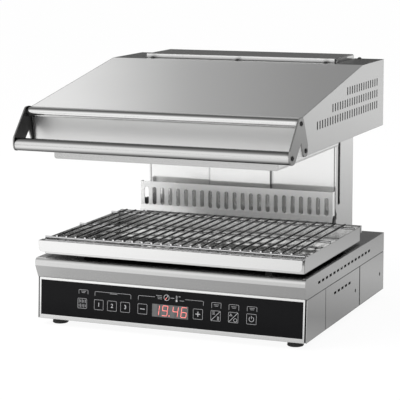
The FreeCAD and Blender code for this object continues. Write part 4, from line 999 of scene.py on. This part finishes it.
def mirrored_floor(tree, place):
    """Tone of the floor in the metal, with painted shade: darker close by, to the right in front, behind and
    far aside.
    """
    away = away_from_grill(tree, place)
    parts = axes(tree, place)
    aside = parts["X"]
    depth = parts["Y"]
    close_by = math_node(tree, "SUBTRACT", spread(tree, depth, 0.0, 0.22, 0.05, 0.5),
                         spread(tree, away, 0.0, 0.22, 0.3, 0.8))
    beside = math_node(tree, "ADD", spread(tree, away, 0.35, 0.93, 0.3, 3.3), close_by)
    ahead = math_node(tree, "MULTIPLY", spread(tree, away, 0.62, 1.06, 0.0, 0.45),
                      spread(tree, aside, 1.06, 0.72, -0.6, 0.3))
    tone = blend_values(tree, spread(tree, depth, 0.0, 1.0, -0.25, 0.05), ahead, beside)
    sideways = math_node(tree, "SUBTRACT", math_node(tree, "ABSOLUTE", aside),
                         math_node(tree, "MULTIPLY", math_node(tree, "MAXIMUM", depth), 0.35))
    return math_node(tree, "MULTIPLY", tone, spread(tree, sideways, 1.0, FAR_SIDE_SHARE, 1.3, 1.9))


def make_floor(tone):
    """Pale floor that keeps the shadow and is near white to the eye."""
    tree, shader, place = new_material("floor")
    path = add_node(tree, "ShaderNodeLightPath").outputs
    set_inputs(shader, {
        "Base Color": varied(tree, noise(tree, place, 0.8), (tone, tone, tone), 0.005), "Roughness": 0.9,
        "Specular IOR Level": 0.0})
    glossy = path["Is Glossy Ray"]
    white = add_node(tree, "ShaderNodeEmission", {
        "Strength": blend_values(tree, glossy, 1.0, mirrored_floor(tree, place))})
    seen = math_node(tree, "MULTIPLY", path["Is Camera Ray"], FLOOR_WHITE)
    mix = add_node(tree, "ShaderNodeMixShader", {
        0: math_node(tree, "MAXIMUM", seen, glossy), 1: shader.outputs[0], 2: white.outputs[0]})
    set_inputs(tree.nodes["Material Output"], {"Surface": mix.outputs[0]})


def studio_tones(tree):
    """Tones of a studio by direction, for the metal to mirror."""
    parts = axes(tree, add_node(tree, "ShaderNodeTexCoord").outputs["Generated"])
    aside = parts["X"]
    height = parts["Z"]
    left, fold, right = SOFT_BOX_PLACES
    left_tone, fold_tone, right_tone = SOFT_BOX_TONES
    soft_box = math_node(tree, "ADD", spread(tree, aside, left_tone, fold_tone, left, fold),
                         spread(tree, aside, 0.0, right_tone - fold_tone, fold, right))
    behind = blend_values(tree, spread(tree, height, 0.0, 1.0, 0.24, 0.35), LOW_BACK_TONE, soft_box)
    around = blend_values(tree, spread(tree, parts["Y"], 0.0, 1.0, -0.1, 0.3), FRONT_TONE, behind)
    tones = blend_values(tree, spread(tree, height, 0.0, 1.0, 0.55, 0.85), around, OVERHEAD_TONE)
    sideways = math_node(tree, "ABSOLUTE", aside)
    return math_node(tree, "MULTIPLY", tones, spread(tree, sideways, 1.0, FAR_SIDE_SHARE, 0.62, 0.8))


def make_world(fill):
    """White to the camera, an even fill for the light, and a studio's tones for the metal."""
    world = bpy.data.worlds.new("studio")
    world.use_nodes = True
    tree = world.node_tree
    tree.nodes.clear()
    path = add_node(tree, "ShaderNodeLightPath").outputs
    white_rays = math_node(tree, "MAXIMUM", path["Is Camera Ray"], path["Is Transmission Ray"])
    mirrored = blend_values(tree, path["Is Glossy Ray"], fill, studio_tones(tree))
    background = add_node(tree, "ShaderNodeBackground", {
        "Color": WHITE, "Strength": blend_values(tree, white_rays, mirrored, 1.0)})
    add_node(tree, "ShaderNodeOutputWorld", {"Surface": background.outputs[0]})
    bpy.context.scene.world = world


class GRILL_OT_stage(bpy.types.Operator):
    """Set the floor, the light and the camera"""

    bl_idname = "grill.stage"
    bl_label = "Stage"

    def execute(self, context):
        stage = settings("grill_stage")
        context.scene.view_settings.view_transform = "Standard"
        make_floor(stage.floor)
        floor = mesh_object(disc(FLOOR_RADIUS, segments=64), "floor", "floor")
        make_world(stage.fill)
        self.add_lamp(stage)
        self.add_camera(stage)
        return {"FINISHED"}

    def add_lamp(self, stage):
        """Large soft lamp over the front left."""
        lamp = bpy.data.lights.new("key", "AREA")
        lamp.shape = "DISK"
        lamp.size = LAMP_SIZE
        lamp.energy = stage.key_watts
        holder = new_object("key", lamp)
        holder.location = LAMP_PLACE
        aim = Vector(LAMP_TARGET) - Vector(LAMP_PLACE)
        holder.rotation_euler = aim.to_track_quat("-Z", "Y").to_euler()
        holder.visible_glossy = False

    def add_camera(self, stage):
        """Camera where the photo was taken from."""
        data = bpy.data.cameras.new("camera")
        data.sensor_width = SENSOR_WIDTH
        data.lens = SENSOR_WIDTH * stage.focal_pixels / PHOTO_WIDTH
        turned = (Matrix.Rotation(stage.azimuth, 4, "Z")
                  @ Matrix.Rotation(math.pi / 2 - stage.elevation, 4, "X")
                  @ Matrix.Rotation(stage.roll, 4, "Z"))
        back = Matrix.Translation((0.0, 0.0, stage.distance))
        camera = new_object("camera", data)
        camera.matrix_world = Matrix.Translation(stage.target) @ turned @ back
        bpy.context.scene.camera = camera


OPERATORS = (GRILL_OT_finishes, GRILL_OT_panel_signs, GRILL_OT_display, GRILL_OT_handle_screws,
             GRILL_OT_vent_gauze, GRILL_OT_cover_screws, GRILL_OT_stage)
SETTINGS = {"grill_finish": GrillFinishSettings, "grill_panel": GrillPanelSettings,
            "grill_screws": GrillScrewSettings, "grill_vents": GrillVentSettings,
            "grill_stage": GrillStageSettings}


class GRILL_PT_sidebar(bpy.types.Panel):
    """Settings and steps of the grill"""

    bl_idname = "GRILL_PT_sidebar"
    bl_label = "Salamander grill"
    bl_space_type = "VIEW_3D"
    bl_region_type = "UI"
    bl_category = "Grill"

    def draw(self, context):
        for name, group in SETTINGS.items():
            box = self.layout.box()
            for prop in group.__annotations__:
                box.prop(getattr(context.scene, name), prop)
        for operator in OPERATORS:
            self.layout.operator(operator.bl_idname)


def register():
    """Register the setting groups, the operators and the panel."""
    for name, group in SETTINGS.items():
        bpy.utils.register_class(group)
        setattr(bpy.types.Scene, name, bpy.props.PointerProperty(type=group))
    for item in (*OPERATORS, GRILL_PT_sidebar):
        bpy.utils.register_class(item)


def unregister():
    """Take everything off again."""
    for item in (GRILL_PT_sidebar, *reversed(OPERATORS)):
        bpy.utils.unregister_class(item)
    for name, group in SETTINGS.items():
        delattr(bpy.types.Scene, name)
        bpy.utils.unregister_class(group)


def main():
    """Dress the grill."""
    register()
    bpy.ops.grill.finishes()
    bpy.ops.grill.panel_signs()
    bpy.ops.grill.display()
    bpy.ops.grill.handle_screws()
    bpy.ops.grill.vent_gauze()
    bpy.ops.grill.cover_screws()
    bpy.ops.grill.stage()


if __name__ == "__main__":
    main()
